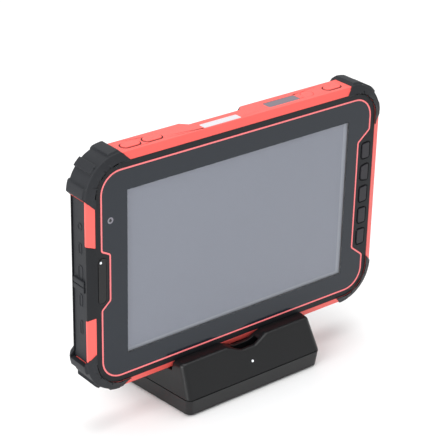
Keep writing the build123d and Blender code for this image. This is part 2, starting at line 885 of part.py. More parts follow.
def port(socket):
    """Metal shell of one socket behind the left wall, open towards the edge."""
    name, z, depth, height = socket
    x0 = cavity_left + port_gap
    x1 = x0 + port_shell + port_depth
    body = port_opening(socket, port_shell, x0, x1)
    if name == "headset_jack":
        hole = Cylinder(jack_radius, port_depth, align=(Align.CENTER, Align.CENTER, Align.MIN))
        return body - Pos(x0 - overshoot, port_line, z) * Rot(0, 90, 0) * hole
    body -= port_opening(socket, 0, x0 - overshoot, x1 - overshoot)
    if name == "card_slot":
        return body
    reach = height / 2 - port_tongue_inset
    front, back = port_line - port_tongue, port_line + port_tongue
    return body + block(x0 + port_tongue_inset, x1, front, back, z - reach, z + reach)


def port_door(sockets, hinge_z, free_z):
    """Rubber door with a rounded hinge end, a pull tab at its free end and a plug for each socket."""
    low, high = sorted((hinge_z, free_z))
    door = block(door_x, door_inner_x, door_front, door_back, low, high)
    door += rod_y(hinge_x, hinge_z, door_thickness / 2, door_front, door_back)
    inward = 1 if hinge_z > free_z else -1
    tab_low, tab_high = sorted((free_z, free_z + inward * pull_tab_height))
    tab_front, tab_back = door_front + pull_tab_inset, door_back - pull_tab_inset
    tab = block(door_x - pull_tab, hinge_x, tab_front, tab_back, tab_low, tab_high)
    door += fillet(tab.faces().sort_by(Axis.X)[0].edges(), pull_tab_edge)
    for socket in sockets:
        door += port_opening(socket, -plug_clearance, hinge_x, door_inner_x + plug_depth)
    hole_radius = pin_radius + pin_clearance
    return door - rod_y(hinge_x, hinge_z, hole_radius, door_front - overshoot, door_back + overshoot)


def upper_port_door():
    return port_door(upper_ports, upper_hinge_z, door_split + moving_gap / 2)


def lower_port_door():
    return port_door(lower_ports, lower_hinge_z, door_split - moving_gap / 2)


def door_hinge_pins():
    """Pins that run through the doors, held in the housing in front and the rear cover behind."""
    near, far = door_front - pin_root + pin_end_gap, shell_back + pin_root - pin_end_gap
    return Compound([rod_y(hinge_x, z, pin_radius, near, far) for z in (upper_hinge_z, lower_hinge_z)])


def dock_contacts():
    """Round charging contacts in the bottom edge."""
    top = -cavity_half_height + contact_root
    return Compound([rod_z(x, contact_y, contact_radius, -half_height, top) for x in contact_offsets])


def contact_holder():
    reach = contact_offsets[-1] + contact_holder_margin
    depth, height = contact_holder_size
    low = -cavity_half_height + port_gap
    holder = block(-reach, reach, contact_y - depth / 2, contact_y + depth / 2, low, low + height)
    top = contact_root - cavity_half_height
    for offset_x in contact_offsets:
        holder -= rod_z(offset_x, contact_y, contact_radius, low - overshoot, top)
    return holder


def bumper_jacket(grow, front, bevel):
    """Rubber skin round the whole body: bevelled in front and at the back, and grown by a distance."""
    back = body_depth + bumper_back
    shoulder, tail_start = front + bevel, back - bumper_tail
    edge = slab(body_outline(grow), shoulder, tail_start)
    nose = bevel_slab(frame_outline(fit_gap), body_outline(grow), front, shoulder)
    tail = bevel_slab(body_outline(grow), body_outline(grow - bumper_tail), tail_start, back)
    return edge + nose + tail


def corner_bumper():
    """Top left bumper: a rubber jacket round the corner with three raised blocks."""
    near, far = -bumper_front - overshoot, body_depth + bumper_back + overshoot
    core = body_outline(-bumper_seat)
    inside = slab(frame_outline(0), near, frame_thickness)
    inside += housing_blank() & slab(core, -overshoot, shell_back)
    inside += slab(core, frame_thickness, shell_back)
    inside += cover_blank() & slab(core, shell_back - overshoot, far)
    inside += slab(body_outline(-bumper_lap), body_depth - overshoot, far)
    region = slab(bumper_region(-fit_gap), near, far)
    grooves = bumper_jacket(bumper_base, bumper_valley_drop - bumper_front, bumper_valley_bevel)
    raised = bumper_jacket(bumper_proud, -bumper_front, bumper_bevel) & bumper_blocks(near, far)
    return ((grooves + raised) & region) - inside


def bumper_blocks(near, far):
    """The three raised zones of the top left bumper, cut square to the outline."""
    straight_x = -half_width + body_corner
    straight_z = half_height - body_corner
    reach = 2 * body_corner
    left, top = -half_width - 2 * bumper_proud, half_height + 2 * bumper_proud
    top_zone = block(straight_x - bumper_block_side / 2, 0, near, far, straight_z, top)
    side_zone = block(left, straight_x, near, far, 0, straight_z + bumper_block_side / 2)
    middle = Rot(0, 0, 45) * (Pos(0, reach / 2) * Rectangle(bumper_block_corner, reach))
    corner_zone = slab(Pos(straight_x, straight_z) * middle, near, far)
    return top_zone + side_zone + corner_zone


# ---- Cradle ----
def cradle_side_x(y, z):
    """Half width of the cradle at a depth and a height."""
    base = cradle_front_half + cradle_flare * (y - cradle_front)
    return base - cradle_draft * max(z - split_z, 0)


def cradle_outline(inset, front, back, front_half, back_half):
    """Four sided plan with rounded corners."""
    corners = [(-front_half, front), (front_half, front), (back_half, back), (-back_half, back)]
    plan = make_face(Polyline(*corners, close=True))
    return fillet(plan.vertices(), max(cradle_corner - inset, cradle_corner / 4))


def cradle_plan(z, inset):
    """Outline of the cradle seen from above at a height: wider at the back, the front sloping away."""
    slope = (lip_front - cradle_front) / (lip_top - split_z)
    front = cradle_front + max(z - split_z, 0) * slope + inset
    back = cradle_depth / 2 - inset
    return cradle_outline(inset, front, back, cradle_side_x(front, z) - inset, cradle_side_x(back, z) - inset)


def cradle_envelope(inset, low):
    """Tapered block that gives the cradle's ends and its rounded upright corners."""
    top = rest_top + overshoot
    sections = [Pos(0, 0, z) * cradle_plan(z, inset) for z in (split_z, top)]
    upper = loft(sections, ruled=True)
    return upper + upright(cradle_plan(split_z, inset), low, split_z)


def cradle_profile(low):
    """Side view of the cradle's upper body: front lip, slot and back rest."""
    rest_back = slot_back + rest_thickness
    back = cradle_depth / 2
    points = [
        (cradle_front, low), (cradle_front, split_z), (lip_front, lip_top), (slot_front, lip_top),
        (slot_front, slot_floor), (slot_back, slot_floor), (slot_back, rest_top), (rest_back, rest_top),
        (back, rear_step), (back, low),
    ]
    return make_face(Polyline(*points, close=True))


def along_x(sketch):
    """Solid from a sketch drawn in Y and Z, right across the cradle."""
    side = Plane(origin=(-cradle_front_width, 0, 0), x_dir=(0, 1, 0), z_dir=(1, 0, 0))
    return extrude(side * sketch, amount=2 * cradle_front_width)


def cradle_upper():
    """Outside of the upper body, with its soft lip, dip and rounded corners."""
    upper = along_x(cradle_profile(split_z - overshoot)) & cradle_envelope(0, split_z - overshoot)
    side, low = cradle_front_width, split_z + split_gap / 2
    upper -= block(-side, side, -cradle_depth, cradle_depth, 0, low)
    upper -= lip_dip()
    upper = fillet([e for e in upper.edges() if on_crest(e)], lip_round)
    return fillet(upper.faces().sort_by(Axis.Z)[-1].edges(), rest_round)


def on_crest(edge):
    """True for the edges that run along the front lip, down through its dip and round its ends."""
    middle, run = edge.center(), edge.tangent_at(0.5)
    in_dip_wall = abs(run.Y) > nearly_square and abs(middle.X) < dip_mouth
    in_front = middle.Z > dip_floor - crest_reach and middle.Y < slot_front - crest_reach
    return in_front and abs(run.Z) < steepest_crest and not in_dip_wall


def lip_dip():
    """Shallow dip in the middle of the front lip."""
    rise = lip_top - dip_floor
    flat, mouth, end = dip_width / 2, dip_mouth / 2, dip_mouth / 2 + 2 * dip_round
    points = [
        (-end, lip_top), (-mouth, lip_top), (-flat, dip_floor),
        (flat, dip_floor), (mouth, lip_top), (end, lip_top),
    ]
    line = FilletPolyline(*points, radius=dip_round)
    above = Polyline(points[-1], (end, lip_top + rise), (-end, lip_top + rise), points[0])
    return slab(make_face([line, above]), cradle_front - overshoot, (slot_front + slot_back) / 2)


def cradle_hollow():
    """Space inside the upper body, open at the bottom."""
    low = foot_height
    profile = offset(cradle_profile(low), amount=-cradle_wall, kind=Kind.INTERSECTION)
    return along_x(profile) & cradle_envelope(cradle_wall, low)


def cradle_light_hole(radius, length):
    """Rod square to the sloping front face at the charge light."""
    rise, run = lip_top - split_z, lip_front - cradle_front
    y = cradle_front + (cradle_light_height - split_z) / rise * run
    aim = Plane(origin=(0, y, cradle_light_height), x_dir=(1, 0, 0), z_dir=(0, -rise, run))
    return aim * Pos(0, 0, -length) * Cylinder(radius, length, align=(Align.CENTER, Align.CENTER, Align.MIN))


def charge_light():
    return cradle_light_hole(cradle_light_radius, light_pipe_length)


def mirrored(place):
    """The same place in all four quarters of the cradle."""
    x, y = place
    return [(i * x, j * y) for i in (-1, 1) for j in (-1, 1)]


def cradle_body():
    """Upper body of the cradle: a shell with four screw posts and its openings."""
    hollow = cradle_hollow()
    body = cradle_upper() - hollow
    post_low = split_z - post_drop
    for x, y in mirrored(cradle_screw_place):
        body += rod_z(x, y, cradle_post, post_low, rest_top) & hollow
    for x, y in mirrored(cradle_screw_place):
        body -= rod_z(x, y, screw_radius, post_low - overshoot, split_z + cradle_screw_reach + screw_passage)
    body -= contact_space(contact_block_fit)
    body -= cradle_light_hole(cradle_light_radius + fit_gap, light_pipe_length)
    body -= inlet_space(inlet_fit, cradle_depth / 2 + overshoot)
    return body


def contact_space(grow):
    """Block round the charging pins under the slot."""
    reach = contact_offsets[-1] + contact_block_margin + grow
    y, half = glass_y + contact_y, contact_block_half + grow
    low = slot_floor - cradle_wall - contact_block_reach
    return block(-reach, reach, y - half, y + half, low, slot_floor + contact_block_rise)


def contact_block():
    holder = contact_space(0)
    for offset_x in contact_offsets:
        hole_radius = pin_head_radius + pin_passage
        holder -= rod_z(offset_x, glass_y + contact_y, hole_radius, split_z, slot_floor + overshoot)
    return holder


def charging_pins():
    y = glass_y + contact_y
    top = collector_z - half_height - moving_gap
    return Compound([rod_z(x, y, pin_head_radius, top - pin_length, top) for x in contact_offsets])


def inlet_space(grow, back):
    """Block of the power inlet, open at the back of the cradle."""
    width, depth, height = inlet_size
    half = width / 2 + grow
    low = split_z + inlet_rise
    return block(-half, half, cradle_depth / 2 - depth, back, low - grow, low + height + grow)


def power_inlet():
    """Round low voltage socket with its middle pin."""
    width, depth, height = inlet_size
    front = cradle_depth / 2 - depth
    along = Pos(0, front + inlet_floor, split_z + inlet_rise + height / 2) * Rot(-90, 0, 0)
    from_floor = (Align.CENTER, Align.CENTER, Align.MIN)
    hole = along * Cylinder(inlet_radius, depth, align=from_floor)
    pin = along * Cylinder(inlet_pin_radius, depth - 2 * inlet_floor, align=from_floor)
    return inlet_space(0, cradle_depth / 2 - inlet_sunk) - hole + pin


def base_plan(z, inset):
    """Outline of the lower band, drawn in towards the table."""
    drop = (split_z - z) / band_height * band_draft
    front_half = cradle_side_x(cradle_front, split_z) - inset - drop
    back_half = cradle_side_x(cradle_depth / 2, split_z) - inset - drop
    front, back = cradle_front + inset + drop, cradle_depth / 2 - inset - drop
    return cradle_outline(inset, front, back, front_half, back_half)


def cradle_base():
    """Tray under the cradle with a rim that stands up inside the upper body."""
    top, floor = split_z - split_gap / 2, foot_height + base_floor
    outer = loft([Pos(0, 0, z) * base_plan(z, 0) for z in (foot_height, top)], ruled=True)
    rim_inset = cradle_wall + base_rim_inset
    tray = outer + upright(base_plan(split_z, rim_inset), floor, split_z + base_rim_rise)
    tray -= upright(base_plan(split_z, rim_inset + base_rim_thickness), floor, split_z + post_drop)
    for x, y in mirrored(cradle_screw_place):
        tray += rod_z(x, y, base_post, floor, split_z - post_drop - base_post_gap)
        tray -= rod_z(x, y, base_passage, 0, split_z)
        tray -= rod_z(x, y, base_counterbore, 0, cradle_screw_seat)
    for x, y in mirrored(foot_place):
        tray -= rod_z(x, y, foot_radius + fit_gap, 0, foot_height + foot_seat)
    return tray


def cradle_feet():
    return Compound([rod_z(x, y, foot_radius, 0, foot_height + foot_seat) for x, y in mirrored(foot_place)])


def cradle_screws():
    """Screws from below, with a cross recess in each head."""
    screws = []
    long, short, depth = cradle_recess
    low = cradle_screw_seat - cradle_screw_head_height
    for x, y in mirrored(cradle_screw_place):
        head = rod_z(x, y, cradle_screw_head, low, cradle_screw_seat)
        shank = rod_z(x, y, screw_radius - screw_fit, cradle_screw_seat, split_z + cradle_screw_reach)
        slot = block(x - long, x + long, y - short, y + short, 0, low + depth)
        cross = block(x - short, x + short, y - long, y + long, 0, low + depth)
        screws.append(head + shank - slot - cross)
    return Compound(screws)


def ballast_plate():
    width, depth, height = ballast_size
    low = foot_height + base_floor
    plate = block(-width / 2, width / 2, -depth / 2, depth / 2, low, low + height)
    for x, y in mirrored(cradle_screw_place):
        plate -= rod_z(x, y, base_post + moving_gap, 0, split_z)
    return plate


def charging_board():
    half, front, back = charging_board_reach
    low = split_z - charging_board_drop
    top = low + board_thickness
    board = block(-half, half, -front, back, low, top)
    for x0, x1, y0, y1, height in charging_chips:
        board += block(x0, x1, y0, y1, top, top + height)
    return board


def slot_pads():
    """Soft pads that the collector stands on."""
    front, back = glass_y + pad_inset, glass_y + body_depth - pad_inset
    top = slot_floor + pad_thickness
    return Compound([
        block(x - pad_half_width, x + pad_half_width, front, back, slot_floor, top) for x in (-pad_x, pad_x)
    ])


def collector_nodes():
    """Every piece of the collector, drawn about its own front face."""
    nodes = {
        "front_frame": front_frame(),
        "pinstripe_trim": pinstripe_trim(),
        "cover_glass": cover_glass(),
        "lcd_panel": lcd_panel(),
        "front_camera": front_camera(),
        "badge_plate": badge_plate(),
        "status_light": status_light(),
        "key_mat": key_mat(),
        "key_board": key_board(),
        "housing": housing(),
        "scan_window": scan_window(),
        "scan_engine": scan_engine(),
        "label_strip": label_strip(),
        "antenna_plug": antenna_plug(),
        "side_switches": side_switches(),
        "switch_boards": switch_board(),
        "rear_cover": rear_cover(),
        "rear_cover_screws": rear_cover_screws(),
        "rear_camera": rear_camera(),
        "flash_window": flash_window(),
        "speaker": speaker(),
        "cover_seal": cover_seal(),
        "chassis_plate": chassis_plate(),
        "battery_pack": battery_pack(),
        "main_board": main_board(),
        "port_board": port_board(),
        "dock_contacts": dock_contacts(),
        "contact_holder": contact_holder(),
        "door_hinge_pins": door_hinge_pins(),
        "upper_port_door": upper_port_door(),
        "lower_port_door": lower_port_door(),
        "volume_up_button": top_button(volume_up_x),
        "volume_down_button": top_button(volume_down_x),
        "power_button": top_button(power_x),
    }
    for index in range(key_count):
        nodes[f"front_key_{index + 1}"] = front_key(index)
    for socket in upper_ports + lower_ports:
        nodes[socket[0]] = port(socket)
    corners = ("top_left", "top_right", "bottom_left", "bottom_right")
    for corner, shape in zip(corners, all_corners(corner_bumper())):
        nodes[f"bumper_{corner}"] = shape - door_recess()
    return nodes


def cradle_nodes():
    return {
        "cradle_body": cradle_body(),
        "cradle_base": cradle_base(),
        "cradle_feet": cradle_feet(),
        "cradle_screws": cradle_screws(),
        "ballast_plate": ballast_plate(),
        "charging_board": charging_board(),
        "contact_block": contact_block(),
        "charging_pins": charging_pins(),
        "charge_light": charge_light(),
        "power_inlet": power_inlet(),
        "slot_pads": slot_pads(),
    }


def main():
    os.makedirs("parts", exist_ok=True)
    for name, shape in collector_nodes().items():
        export_step(collector_place * shape, f"parts/{name}.step")
    for name, shape in cradle_nodes().items():
        export_step(shape, f"parts/{name}.step")


main()
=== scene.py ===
import json
import math

import bmesh
import bpy
from bpy.props import FloatProperty, FloatVectorProperty, IntProperty, PointerProperty
from mathutils import Matrix, Vector


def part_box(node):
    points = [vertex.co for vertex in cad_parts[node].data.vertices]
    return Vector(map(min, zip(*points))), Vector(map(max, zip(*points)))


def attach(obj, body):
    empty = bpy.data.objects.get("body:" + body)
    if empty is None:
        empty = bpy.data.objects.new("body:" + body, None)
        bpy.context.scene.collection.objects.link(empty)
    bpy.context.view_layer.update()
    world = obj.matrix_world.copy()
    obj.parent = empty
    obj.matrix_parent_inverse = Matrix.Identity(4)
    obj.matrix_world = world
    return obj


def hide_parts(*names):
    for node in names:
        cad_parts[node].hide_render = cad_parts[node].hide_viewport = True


bl_info = {
    "name": "Data collector in its charging cradle",
    "version": (1, 0, 0),
    "blender": (4, 5, 0),
    "location": "3D View > Sidebar > Collector",
    "description": "Finished surfaces and fine details for a rugged data collector and its cradle",
    "category": "Object",
}

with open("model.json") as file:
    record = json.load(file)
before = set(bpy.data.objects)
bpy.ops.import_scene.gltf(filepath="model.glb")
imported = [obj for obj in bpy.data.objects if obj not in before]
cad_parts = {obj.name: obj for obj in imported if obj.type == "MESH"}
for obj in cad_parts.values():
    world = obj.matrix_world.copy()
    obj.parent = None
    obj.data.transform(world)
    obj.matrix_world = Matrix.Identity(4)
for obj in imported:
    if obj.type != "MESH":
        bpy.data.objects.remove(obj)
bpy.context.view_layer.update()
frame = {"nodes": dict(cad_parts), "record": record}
MM = 0.001
body_of = {node: body for body, nodes in frame["record"]["behaviour"]["bodies"].items() for node in nodes}
KEYS = [f"front_key_{number}" for number in range(1, 6)]
CORNERS = ("top_left", "top_right", "bottom_left", "bottom_right")
PORTS = ("headset_jack", "usb_c_port", "usb_a_port", "hdmi_port", "card_slot")
SCREEN_HALF = (86.1 * MM, 53.8 * MM)  # half the display's lit width and height
WELD = 0.002 * MM  # mesh corners nearer than this are one corner
FLAT_ANGLE = math.radians(0.4)  # faces that meet at less than this are one face
SHARP_ANGLE = math.radians(28.0)  # edges that turn by more than this are rounded
CRISP, SOFT = 0.3, 0.4  # rounding of a line's edges, as a share of its width
MARK_ROUND = 0.9  # share of a door mark's shorter half side in the radius of its corners
NEARLY_ROUND = 0.999  # share of the half width in a round end's radius, which keeps its arcs apart
INK_BLUR = 0.05 * MM  # half the width of the blend at a printed edge
QUAD = ((-1, -1), (1, -1), (1, 1), (-1, 1))  # a rectangle's corners in turn, from its middle


def linear(hex_colour):
    """Linear red, green, blue and alpha of an sRGB hex colour."""
    values = [int(hex_colour[i:i + 2], 16) / 255 for i in (1, 3, 5)]
    return [v / 12.92 if v <= 0.04045 else ((v + 0.055) / 1.055) ** 2.4 for v in values] + [1.0]


def colour_setting(label, hex_colour, says):
    return FloatVectorProperty(
        name=label, description=says, subtype="COLOR", size=4, min=0.0, max=1.0, default=linear(hex_colour)
    )


def length_setting(label, millimetres, says):
    return FloatProperty(
        name=label, description=says, subtype="DISTANCE", unit="LENGTH", min=0.0, default=millimetres * MM
    )


class CollectorColours(bpy.types.PropertyGroup):
    """Colours of the finishes"""

    coral: colour_setting("Coral housing", "#f45f58", "Moulded coral plastic of the housing and its buttons")
    trim: colour_setting("Trim line", "#ff8083", "Thin painted line round the glass")
    frame: colour_setting("Front frame", "#15171b", "Moulded black plastic of the front frame and rear cover")
    rubber: colour_setting("Rubber", "#222428", "Rubber of the bumpers and port doors")
    keys: colour_setting("Front keys", "#2a292e", "Silicone rubber of the front keys")
    cradle: colour_setting("Cradle", "#0e0f11", "Satin black plastic of the cradle")
    screen: colour_setting("Screen", "#878996", "Display area with its light off")
    screen_edge: colour_setting("Screen edge", "#9c9ea9", "Bare strip round the display area")
    label: colour_setting("Label", "#cfcdd1", "White label strip on the top edge")
    window: colour_setting("Scan window", "#685a66", "Tinted window of the scanner")


class CollectorSizes(bpy.types.PropertyGroup):
    """Sizes of the fine details"""

    edge: length_setting("Edge rounding", 0.3, "Rounding of the hard plastic's edges")
    rubber_edge: length_setting("Rubber rounding", 0.35, "Rounding of the rubber's edges")
    cap_edge: length_setting("Cap rounding", 0.25, "Rounding of the keys, buttons and plug")
    badge_edge: length_setting("Badge rounding", 0.2, "Rounding of the badge's edges")
    window_edge: length_setting("Window rounding", 0.12, "Rounding of the scan window's edges")
    label_edge: length_setting("Label rounding", 0.08, "Rounding of the label strip's edges")
    trim_width: length_setting("Trim line width", 1.05, "Width of the thin line round the glass")
    trim_edge: length_setting("Trim line rounding", 0.22, "Rounding of the line's edges")
    trim_corner: length_setting("Trim corner", 13.5, "Corner radius of the line round the glass")
    trim_notch_corner: length_setting("Notch corner", 2.0, "Corner radius of the line's steps")
    key_notch_depth: length_setting("Key notch depth", 9.2, "How far the line steps in beside the keys")
    key_notch_reach: length_setting("Key notch reach", 37.5, "Half the height of the step beside the keys")
    key_notch_slope: length_setting("Key notch slope", 7.5, "Height of the step's slanted ends")
    badge_notch_depth: length_setting("Badge notch depth", 5.9, "How far the line steps in beside the badge")
    badge_notch_top: length_setting("Badge notch top", 16.0, "Height of the badge step above the middle")
    badge_notch_bottom: length_setting("Badge notch bottom", 14.2, "Depth of the badge step below the middle")
    badge_slope_top: length_setting("Badge slope top", 3.2, "Height of its slanted upper end")
    badge_slope_bottom: length_setting("Badge slope bottom", 5.2, "Height of its slanted lower end")
    button_length: length_setting("Button length", 12.6, "Length of a button on the top edge")
    button_depth: length_setting("Button depth", 6.4, "Depth of a button on the top edge")
    button_seat: length_setting("Button groove", 0.55, "From a button's edge to the middle of its groove")
    seal_width: length_setting("Button seal", 0.45, "Width of the rubber seal in a button's groove")
    badge_rim: length_setting("Badge rim", 0.55, "Width of the raised rim round the badge")
    door_skin: length_setting("Door skin", 0.6, "From the hinge pins to the port doors' outer face")
    mark_width: length_setting("Mark width", 0.7, "Width of the raised outlines on the port doors")
    mark_scale: FloatProperty(
        name="Mark size", description="Share of a socket's size that its mark takes", default=0.62
    )
    camera_hole: length_setting("Camera hole", 1.0, "Radius of the clear hole over the front camera")
    camera_ring: length_setting("Camera ring", 2.0, "Outer radius of the grey ring over the front camera")
    camera_eye: length_setting("Camera eye", 1.3, "Radius of the front camera's dark eye")
    rib_count: IntProperty(
        name="Grip ribs", description="Ribs on each side of the rear cover", default=9, min=1
    )
    rib_pitch: length_setting("Rib spacing", 7.0, "Distance between the grip ribs")
    rib_length: length_setting("Rib length", 26.0, "Length of a grip rib")
    rib_radius: length_setting("Rib radius", 0.6, "Radius of a grip rib, half of it standing out")
    rib_inset: length_setting("Rib inset", 12.0, "From the rear cover's end to the grip ribs")
    ring_width: length_setting("Lens ring width", 0.6, "Width of the ring round the rear camera")
    cover_screw_radius: length_setting("Cover screw radius", 1.9, "Radius of a rear cover screw's head")
    cover_screw_height: length_setting("Cover screw height", 1.05, "Height of a rear cover screw's head")
    cradle_screw_radius: length_setting("Cradle screw radius", 2.3, "Radius of a cradle screw's head")
    cradle_screw_height: length_setting("Cradle screw height", 1.8, "Height of a cradle screw's head")
    screw_recess: length_setting("Screw recess", 0.55, "Width of a screw's cross recess")


def settings():
    """The colours and the sizes of this scene."""
    return bpy.context.scene.collector_colours, bpy.context.scene.collector_sizes


# ---- Nodes and meshes ----
def add(tree, kind, inputs=None, **values):
    """Adds a node. Each input takes a plain value, or a socket to link from."""
    node = tree.nodes.new(kind)
    for name, value in values.items():
        setattr(node, name, value)
    for key, value in (inputs or {}).items():
        if isinstance(value, bpy.types.NodeSocket):
            tree.links.new(value, node.inputs[key])
        else:
            node.inputs[key].default_value = value
    return node


def new_material(name):
    """Empty material: its tree, its Principled shader and the Object coordinates."""
    material = bpy.data.materials.new(name)
    material.use_nodes = True
    tree = material.node_tree
    shader = tree.nodes["Principled BSDF"]
    place = add(tree, "ShaderNodeTexCoord").outputs["Object"]
    return material, tree, shader, place


def moulded(name, colour, roughness, grain, depth, mottle=0.06, spread=0.06, coat=0.0, specular=0.5):
    """Moulded surface with a fine grain. Grain and depth are real lengths; mottle and spread are shares."""
    material, tree, shader, place = new_material(name)
    shader.inputs["Specular IOR Level"].default_value = specular
    shader.inputs["Coat Weight"].default_value = coat
    shader.inputs["Coat Roughness"].default_value = 0.12
    fine = add(tree, "ShaderNodeTexNoise", {
        "Vector": place, "Scale": 1 / grain, "Detail": 3.0, "Roughness": 0.6,
    })
    patch = 22 * MM
    broad = add(tree, "ShaderNodeTexNoise", {"Vector": place, "Scale": 1 / patch, "Detail": 4.0})
    shade = add(tree, "ShaderNodeMapRange", {
        "Value": broad.outputs["Fac"], "From Min": 0.3, "From Max": 0.7,
        "To Min": 1 - mottle, "To Max": 1 + mottle,
    })
    tint = add(tree, "ShaderNodeVectorMath", {
        0: tuple(colour[:3]), "Scale": shade.outputs["Result"],
    }, operation="SCALE")
    gloss = add(tree, "ShaderNodeMapRange", {
        "Value": fine.outputs["Fac"], "From Min": 0.25, "From Max": 0.75,
        "To Min": roughness - spread, "To Max": roughness + spread,
    })
    relief = add(tree, "ShaderNodeBump", {"Height": fine.outputs["Fac"], "Strength": 1.0, "Distance": depth})
    tree.links.new(tint.outputs["Vector"], shader.inputs["Base Color"])
    tree.links.new(gloss.outputs["Result"], shader.inputs["Roughness"])
    tree.links.new(relief.outputs["Normal"], shader.inputs["Normal"])
    return material


def metal(name, hex_colour, roughness, grain):
    """Bare or plated metal with faint brushed streaks."""
    material, tree, shader, place = new_material(name)
    shader.inputs["Metallic"].default_value = 1.0
    shader.inputs["Base Color"].default_value = linear(hex_colour)
    squeeze, smoother, rougher = 12.0, 0.08, 0.1
    stretch = add(tree, "ShaderNodeMapping", {"Vector": place, "Scale": (1.0, 1.0, squeeze)})
    streaks = add(tree, "ShaderNodeTexNoise", {
        "Vector": stretch.outputs["Vector"], "Scale": 1 / grain, "Detail": 3.0,
    })
    gloss = add(tree, "ShaderNodeMapRange", {
        "Value": streaks.outputs["Fac"], "To Min": roughness - smoother, "To Max": roughness + rougher,
    })
    tree.links.new(gloss.outputs["Result"], shader.inputs["Roughness"])
    return material


def kept(name, make):
    """A material that is made once and then reused."""
    return bpy.data.materials.get(name) or make(name)


def new_object(name, mesh):
    piece = bpy.data.objects.new(name, mesh)
    bpy.context.scene.collection.objects.link(piece)
    return piece


def freeze(piece):
    """Turns a piece's modifiers into plain mesh."""
    graph = bpy.context.evaluated_depsgraph_get()
    result = piece.evaluated_get(graph)
    mesh = bpy.data.meshes.new_from_object(result, preserve_all_data_layers=True, depsgraph=graph)
    piece.modifiers.clear()
    piece.data = mesh
    mesh.name = piece.name
    return piece


def cad_copy(name, node, join_flats=True):
    """Copy of a CAD node with its faces joined. One whose flat faces have many holes keeps its triangles."""
    work = bmesh.new()
    work.from_mesh(frame["nodes"][node].data)
    bmesh.ops.remove_doubles(work, verts=work.verts, dist=WELD)
    if join_flats:
        bmesh.ops.dissolve_limit(work, angle_limit=FLAT_ANGLE, verts=work.verts, edges=work.edges)
    mesh = bpy.data.meshes.new(name)
    work.to_mesh(mesh)
    work.free()
    return new_object(name, mesh)


def softened(name, radius, node, segments=3, join_flats=True):
    """Copy of a CAD node with its edges rounded."""
    piece = cad_copy(name, node, join_flats)
    piece.data.shade_smooth()
    bevel = piece.modifiers.new("Rounded edges", "BEVEL")
    bevel.width = radius
    bevel.segments = segments
    bevel.limit_method = "ANGLE"
    bevel.angle_limit = SHARP_ANGLE
    bevel.use_clamp_overlap = False
    bevel.miter_outer = "MITER_ARC"
    bevel.harden_normals = True
    even = piece.modifiers.new("Even faces", "WEIGHTED_NORMAL")
    even.keep_sharp = True
    return freeze(piece)


def finish_piece(piece, material, slot, body, *replaced):
    """Gives a piece its material and the body that it moves with; the slot is not used."""
    piece.data.materials.clear()
    piece.data.materials.append(material)
    if replaced:
        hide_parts(*replaced)
    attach(piece, body)


def paint(node, material):
    """Puts a material on a CAD node that keeps its own shape."""
    slots = frame["nodes"][node].data.materials
    slots.clear()
    slots.append(material)


def middle(node):
    low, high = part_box(node)
    return (low + high) / 2


# ---- Geometry node trees ----
def geometry_tree(name, inputs):
    """Tree with a Geometry socket at both ends and one named input for each size."""
    tree = bpy.data.node_groups.new(name, "GeometryNodeTree")
    tree.interface.new_socket("Geometry", in_out="INPUT", socket_type="NodeSocketGeometry")
    for label, kind in inputs.items():
        tree.interface.new_socket(label, in_out="INPUT", socket_type=f"NodeSocket{kind}")
    tree.interface.new_socket("Geometry", in_out="OUTPUT", socket_type="NodeSocketGeometry")
    return tree, add(tree, "NodeGroupInput").outputs


def end_tree(tree, geometry, material):
    """Closes a tree: real meshes instead of instances, with their material."""
    real = add(tree, "GeometryNodeRealizeInstances", {0: geometry})
    coated = add(tree, "GeometryNodeSetMaterial", {"Geometry": real.outputs[0], "Material": material})
    add(tree, "NodeGroupOutput", {0: coated.outputs[0]})
    return tree


def grown(name, mesh, tree, values):
    """Runs a geometry tree on a mesh and keeps the result as a plain mesh."""
    piece = new_object(name, mesh)
    modifier = piece.modifiers.new(tree.name, "NODES")
    modifier.node_group = tree
    for socket in tree.interface.items_tree:
        if socket.in_out == "INPUT" and socket.name in values:
            modifier[socket.identifier] = values[socket.name]
    return freeze(piece)


def points_mesh(name, points):
    mesh = bpy.data.meshes.new(name)
    mesh.from_pydata(points, [], [])
    return mesh


def loops_mesh(name, loops):
    """Closed loops of points, each given as x, y, z and the radius of its corner."""
    points, edges = [], []
    for loop in loops:
        first, count = len(points), len(loop)
        points += loop
        edges += [(first + i, first + (i + 1) % count) for i in range(count)]
    mesh = bpy.data.meshes.new(name)
    mesh.from_pydata([point[:3] for point in points], edges, [])
    mesh.attributes.new("corner", "FLOAT", "POINT").data.foreach_set("value", [point[3] for point in points])
    return mesh


def rectangle(centre, across, along, corner):
    """Loop round a rectangle, given by its centre, two half sides and the radius of its corners."""
    return [(*(centre + across * i + along * j), corner) for i, j in QUAD]


def line(name, loops, width, height, edge, material):
    """Bar along closed loops, with its edges rounded."""
    return grown(name, loops_mesh(name, loops), line_tree(), {
        "Width": width, "Height": height, "Edge": edge, "Finish": material,
    })


def line_tree():
    """A bar of rounded section that follows a path whose corners carry their own radius."""
    tree, given = geometry_tree("Rounded line", {
        "Width": "Float", "Height": "Float", "Edge": "Float", "Finish": "Material",
    })
    path = add(tree, "GeometryNodeMeshToCurve", {0: given["Geometry"]})
    radius = add(tree, "GeometryNodeInputNamedAttribute", {"Name": "corner"}, data_type="FLOAT")
    bends = add(tree, "GeometryNodeFilletCurve", {
        "Curve": path.outputs[0], "Count": 14, "Radius": radius.outputs["Attribute"],
    }, mode="POLY")
    section = add(tree, "GeometryNodeCurvePrimitiveQuadrilateral", {
        "Width": given["Height"], "Height": given["Width"],
    })
    soft = add(tree, "GeometryNodeFilletCurve", {
        "Curve": section.outputs[0], "Count": 3, "Radius": given["Edge"],
    }, mode="POLY")
    bar = add(tree, "GeometryNodeCurveToMesh", {"Curve": bends.outputs[0], "Profile Curve": soft.outputs[0]})
    return end_tree(tree, bar.outputs[0], given["Finish"])


